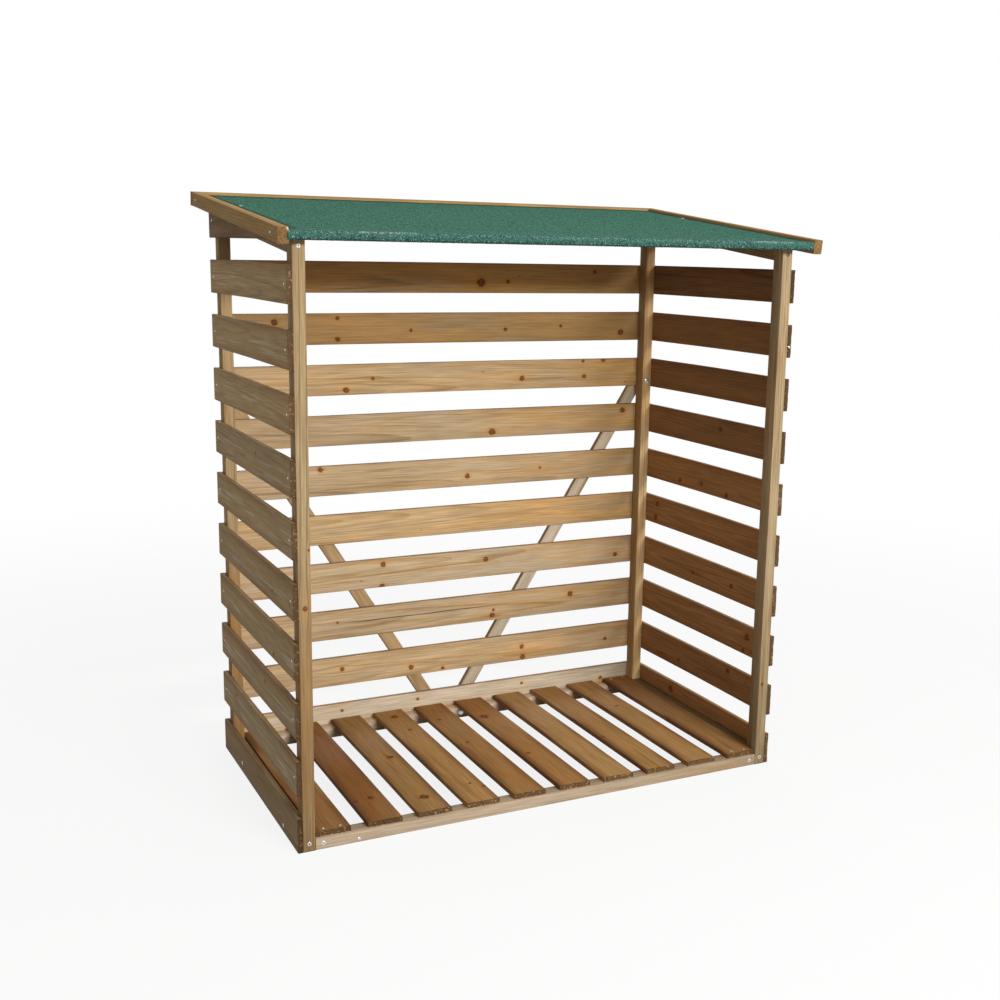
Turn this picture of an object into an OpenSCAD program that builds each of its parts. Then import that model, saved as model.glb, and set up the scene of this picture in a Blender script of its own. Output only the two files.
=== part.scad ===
// Open-fronted log store: a slatted timber shelter with a mono-pitch felt roof.
// Millimetres, +Z up. X runs across the open front, and Y from the front to the back.
// The origin is at ground level under the middle of the roof.

/* [Frame] */
// Width over the four posts
frame_w = 1500; // [1000:10:2000]
// Depth over the four posts
frame_d = 800; // [500:10:1000]
// Thin side of the post and rail timber
stock_t = 34; // [25:1:50]
// Wide side of the post and rail timber
stock_w = 44; // [34:1:70]

/* [Slats] */
// Full courses of slats on each side
courses = 10; // [8:1:12]
// Height of one slat
slat_h = 97; // [80:1:120]
// Thickness of one slat
slat_t = 14; // [8:1:22]
// Clear gap between one slat and the next
slat_gap = 63; // [45:1:90]
// Height left at the thin front end of the top side slats
gable_tip = 3; // [1:1:30]

/* [Floor] */
// Number of floor boards
floor_boards = 10; // [6:1:11]
// Width of one floor board
floor_board_w = 100; // [70:1:110]
// Thickness of one floor board
floor_board_t = 14; // [10:1:25]
// Set-back of the board ends from the front and back faces of the posts
floor_setback = 5; // [0:1:20]
// Clear space between the outer boards and the posts
floor_side_clear = 2; // [1:1:10]

/* [Braces] */
// Width of one brace
brace_w = 44; // [30:1:60]
// Thickness of one brace
brace_t = 18; // [12:1:30]
// Height of the bolt at the head of each brace
brace_head_h = 1139; // [700:1:1400]
// Distance from the middle of the back to the bolt at the foot of each brace
brace_foot_x = 32; // [25:1:80]
// Clear gap between the feet of the two braces
brace_foot_gap = 2; // [1:1:10]

/* [Roof] */
// Slope of the roof in degrees, falling to the front
roof_pitch = 6.7; // [4:0.1:8]
// Reach of the roof past the front faces of the posts
front_over = 70; // [50:1:120]
// Clear space between the back slats and the back fascia
back_clear = 38; // [25:1:80]
// Clear space between the side slats and the barge boards
side_clear = 10; // [2:1:40]
// Number of deck boards
deck_boards = 10; // [5:1:12]
// Thickness of the deck boards
deck_t = 18; // [16:1:28]
// Shrinkage gap between deck boards
deck_gap = 2; // [1:1:6]
// Thickness of the roofing felt
felt_t = 3; // [2:0.5:5]
// Length of felt that is turned under the front edge
felt_return = 30; // [15:1:45]
// Rounding of the deck's front edge under the felt
nose_r = 6; // [3:0.5:8]
// Thickness of the barge boards and of the back fascia
barge_t = 28; // [18:1:40]
// Height of the barge boards above the felt
barge_lip = 7; // [4:1:20]
// Depth of the barge boards below the deck
barge_drop = 12; // [2:1:30]

/* [Hidden] */
// Cuts run past the solids that they cut by this much
overrun = 1;
// Facets of the rounded front edge
$fn = 48;

// Frame
slat_pitch = slat_h + slat_gap;
back_h = courses * slat_pitch + slat_h;
front_h = back_h - frame_d * tan(roof_pitch);
post_x = frame_w / 2 - stock_t;
slat_x = frame_w / 2;
bay_w = 2 * post_x;

// Roof, measured along the slope from its front edge and square to the deck's underside
barge_top = deck_t + felt_t + barge_lip;
barge_h = barge_top + barge_drop;
roof_run = front_over + frame_d + slat_t + back_clear + barge_t;
roof_len = (roof_run - barge_h * sin(roof_pitch)) / cos(roof_pitch);
deck_len = roof_len - barge_t - felt_t;
deck_w = frame_w + 2 * (slat_t + side_clear);
roof_w = deck_w + 2 * barge_t;
deck_board_w = (deck_len - (deck_boards - 1) * deck_gap) / deck_boards;
deck_r = min(nose_r, deck_t / 2);

// Faces across the depth, with the roof's run centred on the origin
post_front_y = front_over - roof_run / 2;
post_back_y = post_front_y + frame_d;
slat_back_y = post_back_y + slat_t;
roof_front_y = barge_top * sin(roof_pitch) - roof_run / 2;
roof_front_z = front_h - (post_front_y - roof_front_y) * tan(roof_pitch);

// Floor
floor_pitch = (bay_w - 2 * floor_side_clear - floor_board_w) / (floor_boards - 1);
floor_len = frame_d - 2 * floor_setback;

// Braces
brace_foot = [brace_foot_x, stock_t / 2];
brace_head = [frame_w / 2 - stock_t / 2, brace_head_h];
brace_reach = norm(brace_head - brace_foot) + frame_w;
brace_lean = atan2(brace_head.y - brace_foot.y, brace_head.x - brace_foot.x);

// Colours of the weathered timbers and the felt
slat_colour = [0.43, 0.33, 0.20];
post_colour = [0.66, 0.53, 0.35];
floor_colour = [0.52, 0.34, 0.17];
rail_colour = [0.74, 0.61, 0.46];
barge_colour = [0.46, 0.33, 0.18];
deck_colour = [0.62, 0.48, 0.30];
felt_colour = [0.26, 0.46, 0.38];

function back_slat_name(i) = str("back_slat_", i + 1);
function floor_board_name(i) = str("floor_board_", i + 1);

// Height of the deck's underside at a place across the depth
function roof_z(y) = back_h + (y - post_back_y) * tan(roof_pitch);

// A profile drawn in the side view, Y across and Z up, given a width along X from x
module side_profile(x, width)
{
    translate([x, 0, 0])
        rotate([90, 0, 90])
            linear_extrude(width)
                children();
}

// What is drawn for the right side, on the left side
module left()
{
    mirror([1, 0, 0])
        children();
}

// The roof's frame: Y up the slope from the front edge, Z square to the deck's underside
module on_roof()
{
    translate([0, roof_front_y, roof_front_z])
        rotate([roof_pitch, 0, 0])
            children();
}

// One post of the right side, cut to the slope of the roof at its top
module post(front_y)
{
    rear_y = front_y + stock_w;
    color(post_colour)
        side_profile(post_x, stock_t)
            polygon([[front_y, 0], [rear_y, 0], [rear_y, roof_z(rear_y)], [front_y, roof_z(front_y)]]);
}

module front_right_post()
{
    post(post_front_y);
}

module front_left_post()
{
    left() post(post_front_y);
}

module back_right_post()
{
    post(post_back_y - stock_w);
}

module back_left_post()
{
    left() post(post_back_y - stock_w);
}

// Sloping rail under the deck, between the front and the back post
module top_rail()
{
    front_y = post_front_y + stock_w;
    rear_y = post_back_y - stock_w;
    depth = stock_w / cos(roof_pitch);
    color(post_colour)
        side_profile(post_x, stock_t)
            polygon([
                [front_y, roof_z(front_y) - depth],
                [rear_y, roof_z(rear_y) - depth],
                [rear_y, roof_z(rear_y)],
                [front_y, roof_z(front_y)]
            ]);
}

module right_top_rail()
{
    top_rail();
}

module left_top_rail()
{
    left() top_rail();
}

// Level rail on the ground, between the front and the back post
module bottom_rail()
{
    color(post_colour)
        translate([post_x, post_front_y + stock_w, 0])
            cube([stock_t, frame_d - 2 * stock_w, stock_w]);
}

module right_bottom_rail()
{
    bottom_rail();
}

module left_bottom_rail()
{
    left() bottom_rail();
}

// Level slats on the outside of the posts, which also cover the ends of the back slats
module side_slats()
{
    color(slat_colour)
        for (i = [0 : courses - 1])
            translate([slat_x, post_front_y, i * slat_pitch])
                cube([slat_t, frame_d + slat_t, slat_h]);
}

module right_side_slats()
{
    side_slats();
}

module left_side_slats()
{
    left() side_slats();
}

// Top slat of a side, cut to a wedge by the slope of the roof
module gable_slat()
{
    base_z = min(courses * slat_pitch, roof_z(post_front_y) - gable_tip);
    color(slat_colour)
        side_profile(slat_x, slat_t)
            intersection() {
                translate([post_front_y, base_z])
                    square([frame_d + slat_t, 2 * slat_h]);
                polygon([
                    [post_front_y, 0],
                    [slat_back_y, 0],
                    [slat_back_y, roof_z(slat_back_y)],
                    [post_front_y, roof_z(post_front_y)]
                ]);
            }
}

module right_gable_slat()
{
    gable_slat();
}

module left_gable_slat()
{
    left() gable_slat();
}

// Level slats across the back, between the side slats
module back_slat(i)
{
    color(slat_colour)
        translate([-slat_x, post_back_y, i * slat_pitch])
            cube([frame_w, slat_t, slat_h]);
}

// Rail laid flat on the ground, which carries one end of the floor boards
module floor_rail(front_y)
{
    color(rail_colour)
        translate([-post_x, front_y, 0])
            cube([bay_w, stock_w, stock_t]);
}

module floor_front_rail()
{
    floor_rail(post_front_y);
}

module floor_back_rail()
{
    floor_rail(post_back_y - stock_w);
}

// Bearer laid flat beside the bottom rail, between the two floor rails
module floor_bearer()
{
    color(rail_colour)
        translate([post_x - stock_w, post_front_y + stock_w, 0])
            cube([stock_w, frame_d - 2 * stock_w, stock_t]);
}

module floor_right_bearer()
{
    floor_bearer();
}

module floor_left_bearer()
{
    left() floor_bearer();
}

// Floor board, from the front to the back on top of the floor rails
module floor_board(i)
{
    x = -post_x + floor_side_clear + i * floor_pitch;
    color(floor_colour)
        translate([x, post_front_y + floor_setback, stock_t])
            cube([floor_board_w, floor_len, floor_board_t]);
}

// Diagonal brace on the outside of the back slats, trimmed at the ground,
// at the middle of the back and at the outer face of the post
module brace()
{
    color(slat_colour)
        translate([0, slat_back_y + brace_t, 0])
            rotate([90, 0, 0])
                linear_extrude(brace_t)
                    intersection() {
                        translate([brace_foot_gap / 2, 0])
                            square([frame_w / 2 - brace_foot_gap / 2, back_h]);
                        translate(brace_foot)
                            rotate(brace_lean)
                                translate([-brace_reach / 2, -brace_w / 2])
                                    square([2 * brace_reach, brace_w]);
                    }
}

module right_brace()
{
    brace();
}

module left_brace()
{
    left() brace();
}

// Side view of a length of deck with rounded front edges, grown all round by a margin
module nosed_outline(length, margin)
{
    round_y = felt_t + deck_r;
    for (z = [deck_r, deck_t - deck_r])
        translate([round_y, z])
            circle(deck_r + margin);
    translate([felt_t - margin, deck_r])
        square([deck_r + margin, deck_t - 2 * deck_r]);
    translate([round_y, -margin])
        square([length - deck_r, deck_t + 2 * margin]);
}

// Deck boards across the roof, the first with rounded front edges
module roof_deck()
{
    color(deck_colour)
        on_roof() {
            side_profile(-deck_w / 2, deck_w)
                nosed_outline(deck_board_w, 0);
            for (i = [1 : deck_boards - 1])
                translate([-deck_w / 2, felt_t + i * (deck_board_w + deck_gap), 0])
                    cube([deck_w, deck_board_w, deck_t]);
        }
}

// One sheet of felt over the deck, wrapped round the front edge and turned under it
module roof_felt()
{
    color(felt_colour)
        on_roof()
            side_profile(-deck_w / 2, deck_w)
                difference() {
                    nosed_outline(deck_len, felt_t);
                    nosed_outline(deck_len + overrun, 0);
                    translate([felt_return, -felt_t - overrun])
                        square([deck_len, felt_t + deck_t / 2 + overrun]);
                }
}

// Barge board along one side of the roof, standing above the felt
module barge_board()
{
    color(barge_colour)
        on_roof()
            translate([deck_w / 2, 0, -barge_drop])
                cube([barge_t, roof_len - barge_t, barge_h]);
}

module right_barge_board()
{
    barge_board();
}

module left_barge_board()
{
    left() barge_board();
}

// Fascia across the back of the roof, over the ends of the barge boards
module back_fascia()
{
    color(barge_colour)
        on_roof()
            translate([-roof_w / 2, roof_len - barge_t, -barge_drop])
                cube([roof_w, barge_t, barge_h]);
}

front_left_post();
front_right_post();
back_left_post();
back_right_post();
left_top_rail();
right_top_rail();
left_bottom_rail();
right_bottom_rail();
left_side_slats();
right_side_slats();
left_gable_slat();
right_gable_slat();
for (i = [0 : courses])
    back_slat(i);
floor_front_rail();
floor_back_rail();
floor_left_bearer();
floor_right_bearer();
for (i = [0 : floor_boards - 1])
    floor_board(i);
left_brace();
right_brace();
roof_deck();
roof_felt();
left_barge_board();
right_barge_board();
back_fascia();
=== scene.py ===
# %% [markdown]
# # An open log store
# A log store keeps firewood dry: four posts, slatted sides and back, a slatted floor and a felted roof
# that falls towards the open front. Its construction comes as a frame of plain solids at their real size.
# This lesson models every board again over that frame, with eased edges, torn saw cuts and year rings,
# and adds the felt, the nails, the screws and the bolts. Nothing is fitted by eye: each piece takes its
# size and its place from the solid that it stands for.

import math
import random

import bmesh
import bpy
from mathutils import Matrix, Vector


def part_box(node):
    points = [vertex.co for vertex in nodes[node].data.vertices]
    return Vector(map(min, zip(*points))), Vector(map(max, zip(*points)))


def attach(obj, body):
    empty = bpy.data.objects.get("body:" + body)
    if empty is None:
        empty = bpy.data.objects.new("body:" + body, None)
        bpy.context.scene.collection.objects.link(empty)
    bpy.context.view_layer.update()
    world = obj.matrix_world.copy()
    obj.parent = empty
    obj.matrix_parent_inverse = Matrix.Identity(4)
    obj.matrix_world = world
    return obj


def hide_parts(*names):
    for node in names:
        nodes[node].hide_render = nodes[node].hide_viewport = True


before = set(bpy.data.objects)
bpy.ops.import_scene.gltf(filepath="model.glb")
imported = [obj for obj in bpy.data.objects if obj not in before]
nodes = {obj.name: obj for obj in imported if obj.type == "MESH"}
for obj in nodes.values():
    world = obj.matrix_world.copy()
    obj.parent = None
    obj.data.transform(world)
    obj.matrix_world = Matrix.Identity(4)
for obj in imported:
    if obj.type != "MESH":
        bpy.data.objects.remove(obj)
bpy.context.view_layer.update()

# %% [markdown]
# ## The camera
# The view is from the left, a little above eye height of a child, with a normal lens. A camera can be
# aimed with a constraint, but three turns say more: swing it round the vertical, dip it, then roll it.
# The lens shift slides the picture without turning the camera, so that upright posts keep their lean.

# %% Camera
CAMERA_PLACE = (-1.6304, -3.4712, 1.5736)
CAMERA_SWING = math.radians(-26.667)
CAMERA_DIP = math.radians(11.573)
CAMERA_ROLL = math.radians(1.029)
CAMERA_LENS = 45.88
CAMERA_SHIFT = (-0.0312, 0.0136)
LEVEL = math.radians(90)

bpy.ops.object.camera_add(location=CAMERA_PLACE)
camera = bpy.context.object
swing = Matrix.Rotation(CAMERA_SWING, 3, "Z")
dip = Matrix.Rotation(LEVEL - CAMERA_DIP, 3, "X")
roll = Matrix.Rotation(CAMERA_ROLL, 3, "Z")
camera.rotation_euler = (swing @ dip @ roll).to_euler()
camera.data.lens = CAMERA_LENS
camera.data.shift_x, camera.data.shift_y = CAMERA_SHIFT
bpy.context.scene.camera = camera
print("camera looks along", [round(c, 3) for c in camera.rotation_euler.to_matrix() @ Vector((0, 0, -1))])

# %% [markdown]
# ## A short way to write node trees
# Every finish below is a node tree on a Principled shader. Trees can be drawn in the shader editor, but
# written out they can be read and repeated. The first class holds a tree and gives the nodes that the looks
# need short names: each call adds a node, joins its inputs and hands back its output. Two of them come up
# all the time. Smooth goes softly from a low value to a high one while its input goes from a start to a stop,
# and swing moves a base value up and down by a chance from 0 to 1. Noise comes soft, medium or rough by its
# detail. A Finish is a tree in a new material. The frame has plain materials of the same names, so the
# finishes are kept in a table of their own.

# %% Node helpers
MIX_A, MIX_B, MIX_RESULT = 6, 7, 2
MIDWAY = 0.5
SOFT, MEDIUM, ROUGH = 2.0, 3.0, 4.0
finishes = {}


class Nodes:
    """A node tree, with a short call for each kind of node that the looks need."""

    def __init__(self, tree):
        self.tree = tree

    def feed(self, socket, value):
        if isinstance(value, bpy.types.NodeSocket):
            self.tree.links.new(value, socket)
        else:
            socket.default_value = value

    def add(self, kind, inputs=None, **settings):
        node = self.tree.nodes.new("ShaderNode" + kind)
        for name, setting in settings.items():
            setattr(node, name, setting)
        for key, value in (inputs or {}).items():
            self.feed(node.inputs[key], value)
        return node

    def math(self, operation, *values):
        return self.add("Math", dict(enumerate(values)), operation=operation).outputs[0]

    def swing(self, chance, size, base):
        return self.math("MULTIPLY_ADD", self.math("SUBTRACT", chance, MIDWAY), size, base)

    def smooth(self, value, start, stop, low=0.0, high=1.0):
        inputs = {"Value": value, "From Min": start, "From Max": stop, "To Min": low, "To Max": high}
        return self.add("MapRange", inputs, interpolation_type="SMOOTHSTEP").outputs[0]

    def vector(self, operation, a, b):
        return self.add("VectorMath", {0: a, 1: b}, operation=operation).outputs[0]

    def scale(self, colour, factor):
        return self.add("VectorMath", {0: colour, "Scale": factor}, operation="SCALE").outputs[0]

    def split(self, vector):
        return self.add("SeparateXYZ", {0: vector}).outputs

    def own(self, name):
        return self.add("Attribute", attribute_name=name).outputs["Vector"]

    def noise(self, place, detail, scale=1.0):
        return self.add("TexNoise", {"Vector": place, "Scale": scale, "Detail": detail}).outputs["Fac"]

    def drawn_noise(self, place, stretch, detail, scale=1.0):
        return self.noise(self.vector("MULTIPLY", place, stretch), detail, scale)

    def mix(self, share, a, b, blend="MIX"):
        inputs = {0: share, MIX_A: a, MIX_B: b}
        return self.add("Mix", inputs, data_type="RGBA", blend_type=blend).outputs[MIX_RESULT]

    def looked_at(self):
        ray = self.add("LightPath").outputs
        mirrored = self.math("MAXIMUM", ray["Is Glossy Ray"], ray["Is Transmission Ray"])
        return ray["Is Camera Ray"], self.math("MAXIMUM", ray["Is Camera Ray"], mirrored)


class Finish(Nodes):
    """A new material: its node tree and its Principled shader."""

    def __init__(self, name):
        self.material = bpy.data.materials.new(name)
        self.material.use_nodes = True
        finishes[name] = self.material
        super().__init__(self.material.node_tree)
        self.shader = self.tree.nodes["Principled BSDF"]

    def bump(self, height, strength, distance):
        inputs = {"Height": height, "Strength": strength, "Distance": distance}
        self.feed(self.shader.inputs["Normal"], self.add("Bump", inputs).outputs[0])

    def shade(self, **sockets):
        for name, value in sockets.items():
            self.feed(self.shader.inputs[name.replace("_", " ").title().replace("Ior", "IOR")], value)


def paint(red, green, blue):
    """A colour with its alpha, as a socket takes it."""
    return (red, green, blue, 1.0)


print("node helpers ready:", [name for name in vars(Nodes) if not name.startswith("_")])

# %% [markdown]
# ## Floor, light and background
# The store stands on a pale studio floor in front of white. A white floor under even light turns grey as
# soon as something shades it, so what the camera sees of the floor is mostly its own white, with a share
# of real shading that keeps the shadow. Far away the share fades out, and no horizon shows.

# %% Floor
FLOOR_SPAN = 60.0
FLOOR_COLOUR, FLOOR_BOUNCE = paint(0.95, 0.95, 0.95), paint(0.5, 0.48, 0.45)
WHITE = paint(1.0, 1.0, 1.0)
FLOOR_FADE = (1.6, 5.0, 0.86, 1.0)

bpy.ops.object.select_all(action="DESELECT")
bpy.ops.mesh.primitive_plane_add(size=FLOOR_SPAN)
floor = bpy.context.object
floor.name = "studio_floor"

studio = Finish("studio_floor")
floor_spot = studio.add("TexCoord").outputs["Object"]
reach = studio.add("VectorMath", {0: floor_spot}, operation="LENGTH").outputs["Value"]
direct, looked_at = studio.looked_at()
own_share = studio.math("MULTIPLY", studio.smooth(reach, *FLOOR_FADE), looked_at)
lit = studio.add("BsdfDiffuse", {"Color": studio.mix(direct, FLOOR_BOUNCE, FLOOR_COLOUR)}).outputs[0]
own_white = studio.add("Emission", {"Color": WHITE, "Strength": 1.0}).outputs[0]
floor_look = studio.add("MixShader", {0: own_share, 1: lit, 2: own_white}).outputs[0]
studio.feed(studio.tree.nodes["Material Output"].inputs["Surface"], floor_look)
floor.data.materials.append(studio.material)
print("floor", FLOOR_SPAN, "m across")

# %% [markdown]
# A broad lamp stands in front and to the right: it reaches the back slats under the edge of the roof and
# leaves the left side and the inside of the right side in softer light, which comes from the world. A second
# lamp hangs overhead for the felt, and a weaker one behind keeps the back from going dark. Each row says how
# far a lamp is swung to the right and raised, how far off it hangs, its width and height, and its power.

# %% Lamps
LAMP_AIM = Vector((0.0, 0.0, 0.75))
LAMPS = {
    "front_lamp": (math.radians(11), math.radians(17), 6.5, (3.0, 0.6), 355.0),
    "overhead_lamp": (0.0, math.radians(85), 4.5, (3.5, 3.0), 45.0),
    "rear_lamp": (math.radians(160), math.radians(10), 6.5, (4.0, 1.5), 90.0),
}

for name, (aside, rise, away, size, power) in LAMPS.items():
    way = Vector((math.sin(aside) * math.cos(rise), -math.cos(aside) * math.cos(rise), math.sin(rise)))
    turn = way.to_track_quat("Z", "Y").to_euler()
    bpy.ops.object.light_add(type="AREA", location=LAMP_AIM + away * way, rotation=turn)
    lamp = bpy.context.object
    lamp.name = name
    lamp.data.shape = "RECTANGLE"
    lamp.data.size, lamp.data.size_y = size
    lamp.data.energy = power
    print(lamp.name, [round(c, 2) for c in lamp.location], power, "W")

# %% [markdown]
# The world does two things. It lights the store softly from all sides, and wherever the camera looks past the
# store, straight or by way of a reflection, it shows plain white instead.

# %% Background
SKY_COLOUR, SKY_STRENGTH = paint(1.0, 0.97, 0.92), 0.28

world = bpy.data.worlds.new("studio")
world.use_nodes = True
bpy.context.scene.world = world
sky = Nodes(world.node_tree)
sky_light = sky.tree.nodes["Background"]
sky.feed(sky_light.inputs["Color"], SKY_COLOUR)
sky.feed(sky_light.inputs["Strength"], SKY_STRENGTH)
backdrop = sky.add("Background", {"Color": WHITE})
_, looked_at = sky.looked_at()
sky_look = sky.add("MixShader", {0: looked_at, 1: sky_light.outputs[0], 2: backdrop.outputs[0]}).outputs[0]
sky.feed(sky.tree.nodes["World Output"].inputs["Surface"], sky_look)
bpy.context.scene.view_settings.view_transform = "Standard"
print("sky strength", SKY_STRENGTH)

# %% [markdown]
# ## Sawn timber
# The timber is pressure-treated softwood: pale early wood, darker late wood, brown knots, a cool grey bloom
# where it has weathered. A picture of wood could be laid on each face, but then the lines would not meet
# round the edges or agree with the end of the board. So the finish is solid: every board remembers where in
# the log it was sawn, and the year rings are circles round the heart of that log. A flat face then shows
# long lines and arches, and a cut end shows arcs, with no mapping at all.
#
# Each board carries what the finish needs in attributes of its own: board is the place on the board, along,
# across and through it; half holds half its sizes; log is where the heart of the tree lies; tone is how
# light, how warm and how grey this board is; knot_1 to knot_7 hold a knot's place and radius; and check is
# the middle, half length and height of a crack from drying.

# %% Knots
KNOT_COUNT = 7
KNOT_STRETCH, FLARE_STRETCH = 1.1, 4.0
SWERVE_RANGE = (3.6, 0.5, 0.0, -0.9)
NO_KNOT = (50.0, 50.0, 0.001)
FAR_OFF = 100.0


def radii_away(wood, along, across, stretch, radius):
    """How many radii off the middle of a knot a point is, with the knot drawn out along the grain."""
    drawn = wood.math("DIVIDE", along, stretch)
    squares = wood.math("ADD", wood.math("MULTIPLY", drawn, drawn), wood.math("MULTIPLY", across, across))
    return wood.math("DIVIDE", wood.math("SQRT", squares), radius)


def knots_in(wood, along, across):
    """How near the nearest knot and the nearest flare are, and how far the grain swerves round the knots."""
    nearest, flare, swerve = FAR_OFF, FAR_OFF, 0.0
    for number in range(1, KNOT_COUNT + 1):
        knot_along, knot_across, radius = wood.split(wood.own(f"knot_{number}"))
        beside = wood.math("SUBTRACT", along, knot_along)
        above = wood.math("SUBTRACT", across, knot_across)
        drawn = radii_away(wood, beside, above, FLARE_STRETCH, radius)
        pull = wood.smooth(drawn, *SWERVE_RANGE)
        swerve = wood.math("ADD", swerve, wood.math("MULTIPLY", above, pull))
        flare = wood.math("MINIMUM", flare, drawn)
        nearest = wood.math("MINIMUM", nearest, radii_away(wood, beside, above, KNOT_STRETCH, radius))
    return nearest, flare, swerve


print("up to", KNOT_COUNT, "knots on a board")

# %% [markdown]
# The rings come next. The distance from the heart is bent by the knots, leans a little along the board and
# wavers with slow noise. Cut into equal steps, each step goes slowly from pale to dark and snaps back, as
# spring wood turns to summer wood and growth stops for the winter. Some years are darker than others.

# %% Year rings
RING_LEAN = 0.014
RING_WAVER = 0.012
WAVER_STRETCH = (1.6, 14.0, 14.0)
LATE_START, LATE_FULL, LATE_STOP = 0.4, 0.88, 0.96
FAINT_YEAR = 0.15


def year_rings(wood, spot, swerve, ring):
    """How much of the dark late wood of a year shows at each point, from 0 to 1."""
    along, across, through = wood.split(spot)
    bent = wood.math("ADD", across, swerve)
    from_heart = wood.math("SQRT", wood.math("ADD", wood.math("MULTIPLY", bent, bent),
                                             wood.math("MULTIPLY", through, through)))
    waver = wood.drawn_noise(spot, WAVER_STRETCH, SOFT)
    moved = wood.math("MULTIPLY_ADD", waver, RING_WAVER, from_heart)
    leaning = wood.math("MULTIPLY_ADD", along, RING_LEAN, moved)
    years = wood.math("DIVIDE", leaning, ring)
    part = wood.math("FRACT", years)
    rise = wood.smooth(part, LATE_START, LATE_FULL)
    fall = wood.smooth(part, 1.0, LATE_STOP)
    year = wood.add("TexWhiteNoise", {"W": wood.math("FLOOR", years)}, noise_dimensions="1D").outputs["Value"]
    depth = wood.math("MULTIPLY_ADD", year, 1.0 - FAINT_YEAR, FAINT_YEAR)
    return wood.math("MULTIPLY", wood.math("MULTIPLY", rise, fall), depth)


print("rings lean", RING_LEAN, "metres in a metre")

# %% [markdown]
# A knot is a branch cut across: dark and ragged, redder in the middle, with an orange ring of dense wood and
# a warm flare where the grain turns round it. Ring and flare tint the wood that they lie on, so they suit
# pale and dark boards alike. Pin knots come by chance from a cell pattern. A check, a crack from drying,
# keeps to the grain and thins out at both ends.

# %% Knot and check marks
FLARE_RANGE, FLARE_ROUGH = (2.6, 0.8, 0.0, 0.6), 1.6
HALO_RANGE = (2.2, 1.1, 0.0, 0.8)
KNOT_RANGE, KNOT_ROUGH = (1.25, 0.75, 0.0, 0.92), 0.4
HEART_RANGE = (0.3, 0.8)
GNARL_SCALE, GNARL_DEPTH = 140.0, 1.0
PIN_KNOT_SCALE, PIN_DEPTH = (5.5, 15.0, 0.0), 0.002
PIN_CHANCE, PIN_RANGE = (0.86, 1.0, -0.02, 0.03), (0.012, -0.012, 0.0, 0.7)
CHECK_WIDTH, CHECK_WANDER, CHECK_TAPER = 0.0026, 0.011, (1.0, 0.45)
NO_CHECK = (50.0, 0.1, 0.0)
KNOT_COLOUR, KNOT_HEART = paint(0.1, 0.031, 0.014), paint(0.22, 0.08, 0.042)
HALO_TINT, FLARE_TINT = paint(1.04, 0.83, 0.56), paint(1.06, 0.98, 0.84)
CHECK_COLOUR = paint(0.12, 0.05, 0.023)


def knot_marks(wood, colour, spot, nearest, flare, fibre, to_face):
    """Lays flares and knots over a colour, and pin knots that only mark the faces."""
    wide = wood.swing(fibre, FLARE_ROUGH, flare)
    colour = wood.mix(wood.smooth(wide, *FLARE_RANGE), colour, FLARE_TINT, "MULTIPLY")
    gnarl = wood.noise(spot, SOFT, GNARL_SCALE)
    ragged = wood.swing(gnarl, GNARL_DEPTH, wood.swing(fibre, KNOT_ROUGH, nearest))
    colour = wood.mix(wood.smooth(ragged, *HALO_RANGE), colour, HALO_TINT, "MULTIPLY")
    knot = wood.mix(wood.smooth(ragged, *HEART_RANGE), KNOT_HEART, KNOT_COLOUR)
    colour = wood.mix(wood.smooth(ragged, *KNOT_RANGE), colour, knot)
    pins = wood.add("TexVoronoi", {"Vector": wood.vector("MULTIPLY", spot, PIN_KNOT_SCALE), "Scale": 1.0},
                    voronoi_dimensions="2D").outputs
    pin_size = wood.smooth(wood.split(pins["Color"])[0], *PIN_CHANCE)
    pin = wood.smooth(wood.math("SUBTRACT", pins["Distance"], pin_size), *PIN_RANGE)
    pin = wood.math("MULTIPLY", pin, wood.smooth(to_face, PIN_DEPTH, 0.0))
    return wood.mix(pin, colour, KNOT_COLOUR)


def drying_check(wood, along, across, patch):
    """How far a point lies inside the crack of its board, from 0 to 1."""
    check_along, check_half, check_across = wood.split(wood.own("check"))
    from_middle = wood.math("ABSOLUTE", wood.math("SUBTRACT", along, check_along))
    taper = wood.smooth(wood.math("DIVIDE", from_middle, check_half), *CHECK_TAPER)
    wander = wood.swing(patch, CHECK_WANDER, check_across)
    beside = wood.math("ABSOLUTE", wood.math("SUBTRACT", across, wander))
    return wood.math("MULTIPLY", wood.smooth(beside, CHECK_WIDTH, CHECK_WIDTH / 3), taper)


print("checks are", CHECK_WIDTH * 1000, "mm wide")

# %% [markdown]
# Edges and ends come from distances as well. How far a point lies inside each pair of faces is known, so an
# edge is where two of the three distances are small. Worn arrises are darkened, and the narrow sides of a
# board get painted shade. Deep inside all three the wood is fresh, which only shows where a splinter has come
# off.

# %% Worn edges and painted shade
EDGE_WIDTH, NARROW_SHADE_DEPTH, STAIN_WIDTH = 0.0035, 0.0012, 0.03
STAIN_PATCH, FRESH_DEPTH = (0.36, 0.62), (0.0008, 0.0022)
EDGE_WEAR_AND_SHADE_COLOUR, STAIN_COLOUR = paint(0.3, 0.16, 0.068), paint(0.21, 0.09, 0.032)
FRESH_COLOUR = paint(0.8, 0.56, 0.3)


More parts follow.
